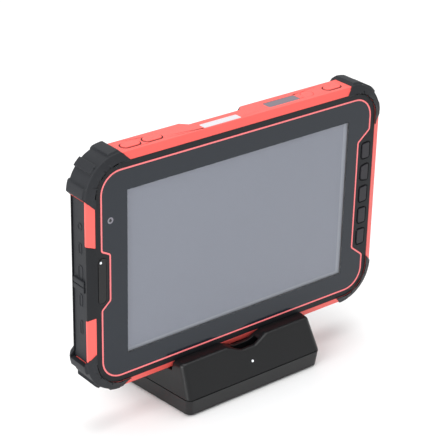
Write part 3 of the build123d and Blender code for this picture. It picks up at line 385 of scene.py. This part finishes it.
def screw_tree():
    """Domed cross-recess screw heads, one on each point, facing along the Facing direction."""
    dome_size, cross_length, cross_depth = 1.9, 1.15, 1.2  # shares of the radius, the radius and the height
    tree, given = geometry_tree("Screw heads", {
        "Radius": "Float", "Height": "Float", "Recess": "Float", "Facing": "Vector", "Finish": "Material",
    })
    drum = add(tree, "GeometryNodeMeshCylinder", {
        "Vertices": 40, "Radius": given["Radius"], "Depth": given["Height"],
    })
    ball_radius = add(tree, "ShaderNodeMath", {0: given["Radius"], 1: dome_size}, operation="MULTIPLY")
    ball = add(tree, "GeometryNodeMeshUVSphere", {
        "Segments": 48, "Rings": 32, "Radius": ball_radius.outputs[0],
    })
    half = add(tree, "ShaderNodeMath", {0: given["Height"], 1: 0.5}, operation="MULTIPLY")
    sink = add(tree, "ShaderNodeMath", {0: half.outputs[0], 1: ball_radius.outputs[0]}, operation="SUBTRACT")
    down = add(tree, "ShaderNodeCombineXYZ", {"Z": sink.outputs[0]})
    dome = add(tree, "GeometryNodeTransform", {"Geometry": ball.outputs[0], "Translation": down.outputs[0]})
    head = add(tree, "GeometryNodeMeshBoolean", {
        "Mesh": drum.outputs["Mesh"],
    }, operation="INTERSECT", solver="EXACT")
    tree.links.new(dome.outputs[0], head.inputs["Mesh"])
    length = add(tree, "ShaderNodeMath", {0: given["Radius"], 1: cross_length}, operation="MULTIPLY")
    depth = add(tree, "ShaderNodeMath", {0: given["Height"], 1: cross_depth}, operation="MULTIPLY")
    up = add(tree, "ShaderNodeCombineXYZ", {"Z": given["Height"]})
    cutters = []
    for first, second in ((length.outputs[0], given["Recess"]), (given["Recess"], length.outputs[0])):
        size = add(tree, "ShaderNodeCombineXYZ", {"X": first, "Y": second, "Z": depth.outputs[0]})
        cube = add(tree, "GeometryNodeMeshCube", {"Size": size.outputs[0]})
        cutters.append(add(tree, "GeometryNodeTransform", {
            "Geometry": cube.outputs[0], "Translation": up.outputs[0],
        }))
    crossed = add(tree, "GeometryNodeMeshBoolean", {
        "Mesh 1": head.outputs["Mesh"],
    }, operation="DIFFERENCE", solver="EXACT")
    for cutter in cutters:
        tree.links.new(cutter.outputs[0], crossed.inputs["Mesh 2"])
    turn = add(tree, "FunctionNodeAlignRotationToVector", {"Vector": given["Facing"]}, axis="Z")
    placed = add(tree, "GeometryNodeInstanceOnPoints", {
        "Points": given["Geometry"], "Instance": crossed.outputs["Mesh"], "Rotation": turn.outputs[0],
    })
    return end_tree(tree, placed.outputs[0], given["Finish"])


def rib_tree():
    """Rows of rounded bars that lie along X: from each point a row climbs along Z."""
    taper_from, end_size = 0.44, 0.25  # where a bar starts to thin, as a share from its middle, and its end
    tree, given = geometry_tree("Grip ribs", {
        "Count": "Int", "Spacing": "Float", "Length": "Float", "Radius": "Float", "Finish": "Material",
    })
    half = add(tree, "ShaderNodeMath", {0: given["Length"], 1: 0.5}, operation="MULTIPLY")
    left = add(tree, "ShaderNodeMath", {0: half.outputs[0], 1: -1.0}, operation="MULTIPLY")
    start = add(tree, "ShaderNodeCombineXYZ", {"X": left.outputs[0]})
    end = add(tree, "ShaderNodeCombineXYZ", {"X": half.outputs[0]})
    spine = add(tree, "GeometryNodeCurvePrimitiveLine", {"Start": start.outputs[0], "End": end.outputs[0]})
    steps = add(tree, "GeometryNodeResampleCurve", {"Curve": spine.outputs[0], "Count": 24})
    along = add(tree, "GeometryNodeSplineParameter")
    from_middle = add(tree, "ShaderNodeMath", {0: along.outputs["Factor"], 1: 0.5}, operation="SUBTRACT")
    spread = add(tree, "ShaderNodeMath", {0: from_middle.outputs[0]}, operation="ABSOLUTE")
    taper = add(tree, "ShaderNodeMapRange", {
        "Value": spread.outputs[0], "From Min": taper_from, "From Max": 0.5,
        "To Min": 1.0, "To Max": end_size,
    }, interpolation_type="SMOOTHSTEP")
    thick = add(tree, "GeometryNodeSetCurveRadius", {
        "Curve": steps.outputs[0], "Radius": taper.outputs["Result"],
    })
    circle = add(tree, "GeometryNodeCurvePrimitiveCircle", {"Resolution": 12, "Radius": given["Radius"]})
    bar = add(tree, "GeometryNodeCurveToMesh", {
        "Curve": thick.outputs[0], "Profile Curve": circle.outputs[0],
        "Fill Caps": True, "Scale": taper.outputs["Result"],
    })
    rise = add(tree, "ShaderNodeCombineXYZ", {"Z": given["Spacing"]})
    row = add(tree, "GeometryNodeMeshLine", {"Count": given["Count"], "Offset": rise.outputs[0]})
    ribs = add(tree, "GeometryNodeInstanceOnPoints", {"Points": row.outputs[0], "Instance": bar.outputs[0]})
    placed = add(tree, "GeometryNodeInstanceOnPoints", {
        "Points": given["Geometry"], "Instance": ribs.outputs[0],
    })
    return end_tree(tree, placed.outputs[0], given["Finish"])


# ---- Materials ----
def coral_plastic(name):
    """Coral polycarbonate blend, moulded in a spark-eroded tool: a soft even glow, hardly any gloss."""
    return moulded(name, settings()[0].coral, roughness=0.44, grain=0.7 * MM, depth=0.012 * MM, mottle=0.02)


def trim_paint(name):
    """Painted line with a satin topcoat: bright coral, a little glossier than the housing."""
    return moulded(name, settings()[0].trim, roughness=0.36, grain=1.2 * MM, depth=0.004 * MM, mottle=0.01)


def black_plastic(name):
    """Black polycarbonate, moulded with a fine texture: even dark grey with a dull sheen."""
    return moulded(
        name, settings()[0].frame, roughness=0.5, grain=0.6 * MM, depth=0.02 * MM,
        mottle=0.08, specular=0.28,
    )


def bumper_rubber(name):
    """Overmoulded TPU rubber: dark, slightly chalky, with a fine stipple."""
    return moulded(
        name, settings()[0].rubber, roughness=0.56, grain=0.8 * MM, depth=0.035 * MM,
        mottle=0.1, specular=0.3,
    )


def key_silicone(name):
    """Silicone rubber keys, moulded smooth: a touch lighter than the frame."""
    return moulded(
        name, settings()[0].keys, roughness=0.5, grain=1.0 * MM, depth=0.01 * MM,
        mottle=0.06, specular=0.35,
    )


def cradle_plastic(name):
    """Black ABS, moulded with a satin finish: long soft highlights on its rounded edges."""
    return moulded(
        name, settings()[0].cradle, roughness=0.36, grain=0.9 * MM, depth=0.014 * MM,
        mottle=0.06, specular=0.4,
    )


def badge_black(name):
    """Gloss black acrylic of the badge, polished: near black with a sharp highlight."""
    return moulded(
        name, linear("#0b0b0d"), roughness=0.24, grain=2.0 * MM, depth=0.002 * MM,
        mottle=0.02, spread=0.03, coat=0.15, specular=0.3,
    )


def label_film(name):
    """White polyester label with a satin laminate: bright and very smooth."""
    return moulded(name, settings()[0].label, roughness=0.3, grain=3.0 * MM, depth=0.002 * MM, mottle=0.02)


def scan_acrylic(name):
    """Tinted acrylic window of the scanner, polished."""
    return moulded(
        name, settings()[0].window, roughness=0.12, grain=4.0 * MM, depth=0.001 * MM,
        mottle=0.05, spread=0.02, coat=0.5,
    )


def soft_rubber(name):
    """Soft black rubber of feet, pads and seals: matt, with a dusty bloom."""
    return moulded(name, linear("#232427"), roughness=0.72, grain=0.6 * MM, depth=0.03 * MM, mottle=0.15)


def inner_plastic(name):
    """Natural black nylon of the inner mouldings."""
    return moulded(name, linear("#27282b"), roughness=0.55, grain=0.8 * MM, depth=0.01 * MM)


def circuit_green(name):
    """Glass-fibre circuit board under green solder mask, with faint tracks."""
    material, tree, shader, place = new_material(name)
    cells = add(tree, "ShaderNodeTexBrick", {
        "Vector": place, "Scale": 1 / (8 * MM), "Color1": linear("#12402a"), "Color2": linear("#185236"),
        "Mortar": linear("#2b6b45"), "Mortar Size": 0.012,
    })
    tree.links.new(cells.outputs["Color"], shader.inputs["Base Color"])
    shader.inputs["Roughness"].default_value = 0.35
    return material


def nickel(name):
    """Nickel-plated steel of the socket shells: warm grey, lightly brushed."""
    return metal(name, "#b9b4aa", roughness=0.3, grain=0.5 * MM)


def black_steel(name):
    """Black-zinc plated steel of the screws: dark and semi-gloss."""
    return metal(name, "#4b4c50", roughness=0.34, grain=0.4 * MM)


def die_cast(name):
    """Die-cast magnesium alloy of the inner chassis: dull silver grey."""
    return metal(name, "#a6a8aa", roughness=0.48, grain=0.7 * MM)


def gold_plate(name):
    """Gold-plated brass of the charging contacts."""
    return metal(name, "#e2b65a", roughness=0.22, grain=0.3 * MM)


def white_light(name):
    """Milky light guide over a white lamp."""
    material, tree, shader, place = new_material(name)
    glow = add(tree, "ShaderNodeTexNoise", {"Vector": place, "Scale": 1 / (1.5 * MM)})
    soft = add(tree, "ShaderNodeMapRange", {"Value": glow.outputs["Fac"], "To Min": 0.25, "To Max": 0.4})
    tree.links.new(soft.outputs["Result"], shader.inputs["Roughness"])
    shader.inputs["Base Color"].default_value = linear("#f6f8fb")
    shader.inputs["Emission Color"].default_value = linear("#eef3ff")
    shader.inputs["Emission Strength"].default_value = 0.2
    return material


def flash_lens(name):
    """Unlit camera flash: pale yellow phosphor under a clear polished lens."""
    return moulded(
        name, linear("#c9c3a2"), roughness=0.12, grain=1.5 * MM, depth=0.01 * MM,
        mottle=0.08, spread=0.03, coat=0.5,
    )


def inside_box(tree, place, centre, half_width, half_height, blur):
    """1 inside an upright rectangle and 0 outside it, with a soft edge."""
    axes = add(tree, "ShaderNodeSeparateXYZ", {"Vector": place})
    masks = []
    for axis, at, reach in (("X", centre.x, half_width), ("Z", centre.z, half_height)):
        offset = add(tree, "ShaderNodeMath", {0: axes.outputs[axis], 1: at}, operation="SUBTRACT")
        away = add(tree, "ShaderNodeMath", {0: offset.outputs[0]}, operation="ABSOLUTE")
        masks.append(add(tree, "ShaderNodeMapRange", {
            "Value": away.outputs[0], "From Min": reach - blur, "From Max": reach + blur,
            "To Min": 1.0, "To Max": 0.0,
        }))
    both = add(tree, "ShaderNodeMath", {
        0: masks[0].outputs["Result"], 1: masks[1].outputs["Result"],
    }, operation="MULTIPLY")
    return both.outputs[0]


def inside_circle(tree, place, centre, radius, blur):
    """1 within a distance of an axis along Y and 0 outside it, with a soft edge."""
    flat = add(tree, "ShaderNodeVectorMath", {0: place, 1: (1.0, 0.0, 1.0)}, operation="MULTIPLY")
    away = add(tree, "ShaderNodeVectorMath", {
        0: flat.outputs["Vector"], 1: (centre.x, 0.0, centre.z),
    }, operation="DISTANCE")
    return add(tree, "ShaderNodeMapRange", {
        "Value": away.outputs["Value"], "From Min": radius - blur, "From Max": radius + blur,
        "To Min": 1.0, "To Max": 0.0,
    }).outputs["Result"]


def two_tones(tree, mask, outside, inside):
    """One colour where a mask is 0 and another where it is 1."""
    mix = add(tree, "ShaderNodeMix", {0: mask, 6: tuple(outside), 7: tuple(inside)}, data_type="RGBA")
    return mix.outputs[2]


def screen_glass(name):
    """Toughened glass, polished: dark print round a clear window and round the camera's grey-ringed hole."""
    material, tree, shader, place = new_material(name)
    sizes = settings()[1]
    polish = 0.06
    let_through = (0.96, 0.97, 0.97, 1.0)  # share of red, green and blue light that one face passes
    shader.inputs["Roughness"].default_value = polish
    shader.inputs["Specular IOR Level"].default_value = 0.35
    window = inside_box(tree, place, middle("cover_glass"), *SCREEN_HALF, INK_BLUR)
    lens = middle("front_camera")
    hole = inside_circle(tree, place, lens, sizes.camera_hole, INK_BLUR)
    ring = inside_circle(tree, place, lens, sizes.camera_ring, INK_BLUR)
    ink = two_tones(tree, ring, linear("#1f252d"), linear("#83818a"))
    tree.links.new(ink, shader.inputs["Base Color"])
    unprinted = add(tree, "ShaderNodeMath", {0: window, 1: hole}, operation="MAXIMUM")
    clear = add(tree, "ShaderNodeBsdfTransparent", {"Color": let_through})
    mirror = add(tree, "ShaderNodeBsdfGlossy", {"Roughness": polish, "Color": linear("#ffffff")})
    edge_on = add(tree, "ShaderNodeFresnel", {"IOR": 1.5})
    inner_face = add(tree, "ShaderNodeNewGeometry").outputs["Backfacing"]
    outer_face = add(tree, "ShaderNodeMath", {0: 1.0, 1: inner_face}, operation="SUBTRACT")
    shine = add(tree, "ShaderNodeMath", {
        0: edge_on.outputs[0], 1: outer_face.outputs[0],
    }, operation="MULTIPLY")
    pane = add(tree, "ShaderNodeMixShader", {0: shine.outputs[0], 1: clear.outputs[0], 2: mirror.outputs[0]})
    whole = add(tree, "ShaderNodeMixShader", {
        0: unprinted.outputs[0], 1: shader.outputs[0], 2: pane.outputs[0],
    })
    tree.links.new(whole.outputs[0], tree.nodes["Material Output"].inputs["Surface"])
    return material


def display(name):
    """Liquid crystal display with its light off: flat grey, with a paler strip at the right and below."""
    material, tree, shader, place = new_material(name)
    colours = settings()[0]
    bare_side, bare_below, blur = 1.5 * MM, 1.0 * MM, 0.15 * MM
    centre = middle("lcd_panel") + Vector((-bare_side, 0.0, bare_below))
    half_width, half_height = SCREEN_HALF
    picture = inside_box(tree, place, centre, half_width - bare_side, half_height - bare_below, blur)
    shade = two_tones(tree, picture, colours.screen_edge, colours.screen)
    tree.links.new(shade, shader.inputs["Base Color"])
    shader.inputs["Roughness"].default_value = 0.6
    return material


def camera_ring(name):
    """Grey painted ring round the dark eye of the front camera, satin."""
    material, tree, shader, place = new_material(name)
    eye = inside_circle(tree, place, middle("front_camera"), settings()[1].camera_eye, INK_BLUR)
    shade = two_tones(tree, eye, linear("#9a98a2"), linear("#24242a"))
    tree.links.new(shade, shader.inputs["Base Color"])
    shader.inputs["Roughness"].default_value = 0.4
    return material


# ---- Pieces ----
class Piece:
    """What every piece's operator has in common."""

    bl_options = {"REGISTER", "UNDO"}

    def execute(self, context):
        self.build()
        return {"FINISHED"}


class COLLECTOR_OT_housing(Piece, bpy.types.Operator):
    """Coral housing, with its moulded edges softened"""

    bl_idname = "collector.housing"
    bl_label = "Housing"

    def build(self):
        coral = kept("Coral polycarbonate blend, moulded", coral_plastic)
        shell = softened("coral_housing", settings()[1].edge, "housing", join_flats=False)
        finish_piece(shell, coral, "coral_plastic", "collector", "housing")


class COLLECTOR_OT_front_frame(Piece, bpy.types.Operator):
    """Black front frame round the glass and the keys"""

    bl_idname = "collector.front_frame"
    bl_label = "Front frame"

    def build(self):
        plastic = kept("Black polycarbonate, moulded", black_plastic)
        crisper = 0.7  # the frame's edges are sharper than the housing's
        rim = softened("black_front_frame", settings()[1].edge * crisper, "front_frame")
        finish_piece(rim, plastic, "black_plastic", "collector", "front_frame")


class COLLECTOR_OT_trim_line(Piece, bpy.types.Operator):
    """Thin coral line that follows the edge of the glass"""

    bl_idname = "collector.trim_line"
    bl_label = "Trim line"

    def build(self):
        sizes = settings()[1]
        low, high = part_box("pinstripe_trim")
        half = sizes.trim_width / 2
        left, right, bottom, top = low.x + half, high.x - half, low.z + half, high.z - half
        level = (bottom + top) / 2
        keys_in, badge_in = right - sizes.key_notch_depth, left + sizes.badge_notch_depth
        reach, far = sizes.key_notch_reach, sizes.key_notch_reach + sizes.key_notch_slope
        badge_top, badge_bottom = level + sizes.badge_notch_top, level - sizes.badge_notch_bottom
        big, small = sizes.trim_corner, sizes.trim_notch_corner
        corners = [
            (left, bottom, big), (right, bottom, big),
            (right, level - far, small), (keys_in, level - reach, small),
            (keys_in, level + reach, small), (right, level + far, small),
            (right, top, big), (left, top, big),
            (left, badge_top + sizes.badge_slope_top, small), (badge_in, badge_top, small),
            (badge_in, badge_bottom, small), (left, badge_bottom - sizes.badge_slope_bottom, small),
        ]
        y = (low.y + high.y) / 2
        loop = [(x, y, z, radius) for x, z, radius in corners]
        paint_coat = kept("Coral trim paint, satin", trim_paint)
        trim = line("coral_trim_line", [loop], sizes.trim_width, high.y - low.y, sizes.trim_edge, paint_coat)
        finish_piece(trim, paint_coat, "coral_trim", "collector", "pinstripe_trim")


class COLLECTOR_OT_screen(Piece, bpy.types.Operator):
    """Cover glass with its black print, and the display behind it"""

    bl_idname = "collector.screen"
    bl_label = "Glass and display"

    def build(self):
        glass = cad_copy("screen_cover_glass", "cover_glass")
        glass.data.shade_flat()
        printed = kept("Toughened glass, printed black", screen_glass)
        finish_piece(glass, printed, "cover_glass", "collector", "cover_glass")
        paint("lcd_panel", kept("Display, unlit", display))
        paint("front_camera", kept("Grey paint, satin", camera_ring))


class COLLECTOR_OT_front_keys(Piece, bpy.types.Operator):
    """The five rubber keys beside the screen"""

    bl_idname = "collector.front_keys"
    bl_label = "Front keys"

    def build(self):
        rubber = kept("Silicone rubber, moulded", key_silicone)
        for key in KEYS:
            cap = softened(f"rubber_{key}", settings()[1].cap_edge, key)
            finish_piece(cap, rubber, "key_rubber", body_of[key], key)


class COLLECTOR_OT_badge(Piece, bpy.types.Operator):
    """Plain gloss badge with its rim, and the two small lights"""

    bl_idname = "collector.badge"
    bl_label = "Badge"

    def build(self):
        gloss = kept("Gloss black acrylic, polished", badge_black)
        plate = softened("plain_badge", settings()[1].badge_edge, "badge_plate")
        finish_piece(plate, gloss, "badge_black", "collector", "badge_plate")
        self.rim(gloss)
        for light in ("status_light", "charge_light"):
            paint(light, kept("Milky light guide, lit", white_light))

    def rim(self, gloss):
        """Raised rim round the badge, with round ends."""
        low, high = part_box("badge_plate")
        width = settings()[1].badge_rim
        centre = Vector(((low.x + high.x) / 2, low.y, (low.z + high.z) / 2))
        across = Vector(((high.x - low.x - width) / 2, 0, 0))
        along = Vector((0, 0, (high.z - low.z - width) / 2))
        loop = rectangle(centre, across, along, across.x * NEARLY_ROUND)
        rim = line("badge_rim", [loop], width, width, width * CRISP, gloss)
        finish_piece(rim, gloss, "badge_black", "collector")


class COLLECTOR_OT_bumpers(Piece, bpy.types.Operator):
    """Rubber bumpers on the four corners"""

    bl_idname = "collector.bumpers"
    bl_label = "Corner bumpers"

    def build(self):
        rubber = kept("TPU rubber, moulded", bumper_rubber)
        for corner in CORNERS:
            node = f"bumper_{corner}"
            jacket = softened(f"rubber_{node}", settings()[1].rubber_edge, node, join_flats=False)
            finish_piece(jacket, rubber, "rubber_black", "collector", node)


class COLLECTOR_OT_port_doors(Piece, bpy.types.Operator):
    """Rubber doors with their moulded port marks, and the sockets behind them"""

    bl_idname = "collector.port_doors"
    bl_label = "Port doors"

    def build(self):
        rubber = kept("TPU rubber, moulded", bumper_rubber)
        for node in ("upper_port_door", "lower_port_door"):
            door = softened(f"rubber_{node}", settings()[1].edge, node, join_flats=False)
            finish_piece(door, rubber, "rubber_black", node, node)
            self.marks(node, rubber)
        for port in PORTS:
            paint(port, kept("Nickel plate, brushed", nickel))
        paint("door_hinge_pins", kept("Black zinc plate on steel", black_steel))

    def marks(self, door, rubber):
        """Raised outlines that show which socket lies behind a door: plain shapes of the sockets."""
        sizes = settings()[1]
        low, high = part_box(door)
        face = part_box("door_hinge_pins")[0].x - sizes.door_skin
        loops = []
        for port in PORTS:
            spot = middle(port)
            if low.z < spot.z < high.z:
                spot.x = face
                reach = (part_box(port)[1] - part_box(port)[0]) / 2 * sizes.mark_scale
                corner = min(reach.y, reach.z) * MARK_ROUND
                loops.append(rectangle(spot, Vector((0, reach.y, 0)), Vector((0, 0, reach.z)), corner))
        width = sizes.mark_width
        raised = line(f"{door}_marks", loops, width, width, width * SOFT, rubber)
        finish_piece(raised, rubber, "rubber_black", door)


class COLLECTOR_OT_top_edge(Piece, bpy.types.Operator):
    """Buttons, label, scan window and plug along the top edge"""

    bl_idname = "collector.top_edge"
    bl_label = "Top edge"

    def build(self):
        sizes = settings()[1]
        coral = kept("Coral polycarbonate blend, moulded", coral_plastic)
        for button in ("volume_up_button", "volume_down_button", "power_button"):
            cap = softened(f"coral_{button}", sizes.cap_edge, button)
            finish_piece(cap, coral, "coral_plastic", body_of[button], button)
            self.seal(button)
        plug = softened("coral_antenna_plug", sizes.cap_edge, "antenna_plug")
        finish_piece(plug, coral, "coral_plastic", "collector", "antenna_plug")
        film = kept("White label film, laminated", label_film)
        label = softened("white_label_strip", sizes.label_edge, "label_strip", segments=2)
        finish_piece(label, film, "label_silver", "collector", "label_strip")
        acrylic = kept("Tinted acrylic, polished", scan_acrylic)
        window = softened("tinted_scan_window", sizes.window_edge, "scan_window", segments=2)
        finish_piece(window, acrylic, "dark_window", "collector", "scan_window")

    def seal(self, button):
        """Dark rubber seal in the groove round a button."""
        sizes = settings()[1]
        rubber = kept("Soft rubber, moulded", soft_rubber)
        width = sizes.seal_width
        centre = middle(button)
        centre.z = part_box("housing")[1].z - width / 2
        across = Vector((sizes.button_length / 2 + sizes.button_seat, 0, 0))
        along = Vector((0, sizes.button_depth / 2 + sizes.button_seat, 0))
        loop = rectangle(centre, across, along, along.y * NEARLY_ROUND)
        ring = line(f"{button}_seal", [loop], width, width, width * CRISP, rubber)
        finish_piece(ring, rubber, "rubber_soft", "collector")


class COLLECTOR_OT_rear_cover(Piece, bpy.types.Operator):
    """Black rear cover with grip ribs and its camera window"""

    bl_idname = "collector.rear_cover"
    bl_label = "Rear cover"

    def build(self):
        plastic = kept("Black polycarbonate, moulded", black_plastic)
        cover = softened("black_rear_cover", settings()[1].edge, "rear_cover", join_flats=False)
        finish_piece(cover, plastic, "black_plastic", "collector", "rear_cover")
        paint("flash_window", kept("Pale phosphor under a clear lens", flash_lens))
        self.ribs(plastic)
        self.lens_ring()
        paint("rear_camera", kept("Gloss black acrylic, polished", badge_black))

    def ribs(self, plastic):
        """Grip ribs near both ends of the cover."""
        sizes = settings()[1]
        low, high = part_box("rear_cover")
        level = (low.z + high.z) / 2 - (sizes.rib_count - 1) * sizes.rib_pitch / 2
        inset = sizes.rib_inset + sizes.rib_length / 2
        starts = [(low.x + inset, high.y, level), (high.x - inset, high.y, level)]
        ribs = grown("grip_ribs", points_mesh("grip_ribs", starts), rib_tree(), {
            "Count": sizes.rib_count, "Spacing": sizes.rib_pitch, "Length": sizes.rib_length,
            "Radius": sizes.rib_radius, "Finish": plastic,
        })
        ribs.data.shade_smooth()
        finish_piece(ribs, plastic, "black_plastic", "collector")

    def lens_ring(self):
        """Metal ring round the rear camera's window."""
        sizes = settings()[1]
        steel = kept("Black zinc plate on steel", black_steel)
        low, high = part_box("rear_camera")
        centre, radius = (low + high) / 2, (high.x - low.x) / 2 - sizes.ring_width
        steps = 64
        turns = [math.tau * i / steps for i in range(steps)]
        x, y, z = centre.x, high.y, centre.z
        loop = [(x + radius * math.cos(t), y, z + radius * math.sin(t), 0.0) for t in turns]
        width = sizes.ring_width
        ring = line("rear_lens_ring", [loop], width, width, width * SOFT, steel)
        finish_piece(ring, steel, "screw_steel", "collector")


class COLLECTOR_OT_screws(Piece, bpy.types.Operator):
    """Cross-recess screws in the rear cover and under the cradle"""

    bl_idname = "collector.screws"
    bl_label = "Screws"

    def build(self):
        steel = kept("Black zinc plate on steel", black_steel)
        tree = screw_tree()
        sizes = settings()[1]
        backwards, downwards = (0.0, 1.0, 0.0), (0.0, 0.0, -1.0)
        groups = (
            ("rear_cover_screws", "rear_screw_heads", backwards,
             sizes.cover_screw_radius, sizes.cover_screw_height),
            ("cradle_screws", "cradle_screw_heads", downwards,
             sizes.cradle_screw_radius, sizes.cradle_screw_height),
        )
        for node, name, facing, radius, height in groups:
            seats = [spot - Vector(facing) * height / 2 for spot in self.tops(node, facing)]
            heads = grown(name, points_mesh(name, seats), tree, {
                "Radius": radius, "Height": height, "Recess": sizes.screw_recess,
                "Facing": facing, "Finish": steel,
            })
            heads.data.shade_flat()
            finish_piece(heads, steel, "screw_steel", body_of[node], node)

    def tops(self, node, facing):
        """The middle of each separate screw's outer end."""
        work = bmesh.new()
        work.from_mesh(frame["nodes"][node].data)
        bmesh.ops.remove_doubles(work, verts=work.verts, dist=WELD)
        spots, left = [], set(work.verts)
        while left:
            island, queue = [], [left.pop()]
            while queue:
                vert = queue.pop()
                island.append(vert.co.copy())
                for edge in vert.link_edges:
                    other = edge.other_vert(vert)
                    if other in left:
                        left.discard(other)
                        queue.append(other)
            low = Vector([min(co[i] for co in island) for i in range(3)])
            high = Vector([max(co[i] for co in island) for i in range(3)])
            spot = (low + high) / 2
            for i in range(3):
                if facing[i]:
                    spot[i] = high[i] if facing[i] > 0 else low[i]
            spots.append(spot)
        work.free()
        return sorted(spots, key=tuple)


class COLLECTOR_OT_cradle(Piece, bpy.types.Operator):
    """Satin black cradle, and the soft rubber feet, pads, seal and key mat"""

    bl_idname = "collector.cradle"
    bl_label = "Cradle"

    def build(self):
        plastic = kept("Black ABS, satin moulded", cradle_plastic)
        for node in ("cradle_body", "cradle_base"):
            shell = softened(f"satin_{node}", settings()[1].edge, node)
            finish_piece(shell, plastic, "cradle_plastic", "cradle", node)
        for node in ("cradle_feet", "slot_pads", "cover_seal", "key_mat"):
            paint(node, kept("Soft rubber, moulded", soft_rubber))


class COLLECTOR_OT_inner_parts(Piece, bpy.types.Operator):
    """Finishes of the boards, the battery and the rest of the inside"""

    bl_idname = "collector.inner_parts"
    bl_label = "Inner parts"

    def build(self):
        for node in ("main_board", "port_board", "key_board", "switch_boards", "charging_board"):
            paint(node, kept("Circuit board, green mask", circuit_green))
        for node in ("battery_pack", "contact_holder", "contact_block", "speaker", "scan_engine",
                     "side_switches", "power_inlet"):
            paint(node, kept("Black nylon, moulded", inner_plastic))
        for node in ("chassis_plate", "ballast_plate"):
            paint(node, kept("Magnesium alloy, die cast", die_cast))
        for node in ("dock_contacts", "charging_pins"):
            paint(node, kept("Gold plate on brass", gold_plate))


class COLLECTOR_OT_stage(Piece, bpy.types.Operator):
    """White table, soft studio light and the camera"""

    bl_idname = "collector.stage"
    bl_label = "Stage"

    def build(self):
        self.table()
        self.light()
        self.camera()

    def table(self):
        mesh = bpy.data.meshes.new("table_top")
        reach = 4.0
        mesh.from_pydata([(i * reach, j * reach, 0) for i, j in QUAD], [], [(0, 1, 2, 3)])
        table = new_object("table_top", mesh)
        material, tree, shader, place = new_material("White table laminate")
        shader.inputs["Base Color"].default_value = linear("#f7f7f7")
        shader.inputs["Roughness"].default_value = 0.6
        mesh.materials.append(material)

    def light(self):
        scene = bpy.context.scene
        scene.view_settings.view_transform = "Standard"
        scene.world = scene.world or bpy.data.worlds.new("Studio")
        scene.world.use_nodes = True
        backdrop = scene.world.node_tree.nodes["Background"]
        backdrop.inputs["Color"].default_value = linear("#ffffff")
        backdrop.inputs["Strength"].default_value = 0.75
        softboxes = (  # name, place, width and power
            ("left_softbox", (-1.3, -0.35, 0.75), 1.0, 14.0),
            ("top_softbox", (0.2, 0.1, 1.7), 1.4, 16.0),
        )
        aim = middle("cover_glass")
        for name, place, width, power in softboxes:
            lamp = bpy.data.lights.new(name, "AREA")
            lamp.shape = "SQUARE"
            lamp.size = width
            lamp.energy = power
            softbox = bpy.data.objects.new(name, lamp)
            scene.collection.objects.link(softbox)
            softbox.location = place
            softbox.rotation_euler = (aim - Vector(place)).to_track_quat("-Z", "Y").to_euler()

    def camera(self):
        """Looks down at the collector from its front left, a metre away."""
        data = bpy.data.cameras.new("camera")
        data.sensor_width = 36.0
        data.lens = 131.43
        camera = bpy.data.objects.new("camera", data)
        bpy.context.scene.collection.objects.link(camera)
        from_glass = Vector((-0.5760, -0.6860, 0.4433))
        back = Vector((-0.56898, -0.6967, 0.43689)).normalized()
        across = Vector((0.78089, -0.6243, 0.02143))
        right = (across - back * across.dot(back)).normalized()
        turn = Matrix((right, back.cross(right), back)).transposed().to_4x4()
        glass = middle("cover_glass")
        spot = Vector((glass.x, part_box("front_frame")[0].y, glass.z)) + from_glass
        camera.matrix_world = Matrix.Translation(spot) @ turn
        bpy.context.scene.camera = camera


class COLLECTOR_PT_panel(bpy.types.Panel):
    """Lists the pieces and the settings"""

    bl_idname = "COLLECTOR_PT_panel"
    bl_label = "Data collector"
    bl_space_type = "VIEW_3D"
    bl_region_type = "UI"
    bl_category = "Collector"

    def draw(self, context):
        for operator in OPERATORS:
            self.layout.operator(operator.bl_idname)
        for group in (context.scene.collector_colours, context.scene.collector_sizes):
            box = self.layout.box()
            for name in group.bl_rna.properties.keys():
                if name not in ("rna_type", "name"):
                    box.prop(group, name)


OPERATORS = (
    COLLECTOR_OT_housing,
    COLLECTOR_OT_front_frame,
    COLLECTOR_OT_trim_line,
    COLLECTOR_OT_screen,
    COLLECTOR_OT_front_keys,
    COLLECTOR_OT_badge,
    COLLECTOR_OT_bumpers,
    COLLECTOR_OT_port_doors,
    COLLECTOR_OT_top_edge,
    COLLECTOR_OT_rear_cover,
    COLLECTOR_OT_screws,
    COLLECTOR_OT_cradle,
    COLLECTOR_OT_inner_parts,
    COLLECTOR_OT_stage,
)
CLASSES = (CollectorColours, CollectorSizes, *OPERATORS, COLLECTOR_PT_panel)


def register():
    for cls in CLASSES:
        bpy.utils.register_class(cls)
    bpy.types.Scene.collector_colours = PointerProperty(type=CollectorColours)
    bpy.types.Scene.collector_sizes = PointerProperty(type=CollectorSizes)


def unregister():
    del bpy.types.Scene.collector_sizes
    del bpy.types.Scene.collector_colours
    for cls in reversed(CLASSES):
        bpy.utils.unregister_class(cls)


def main():
    register()
    for operator in OPERATORS:
        group, name = operator.bl_idname.split(".")
        getattr(getattr(bpy.ops, group), name)()


if __name__ == "__main__":
    main()
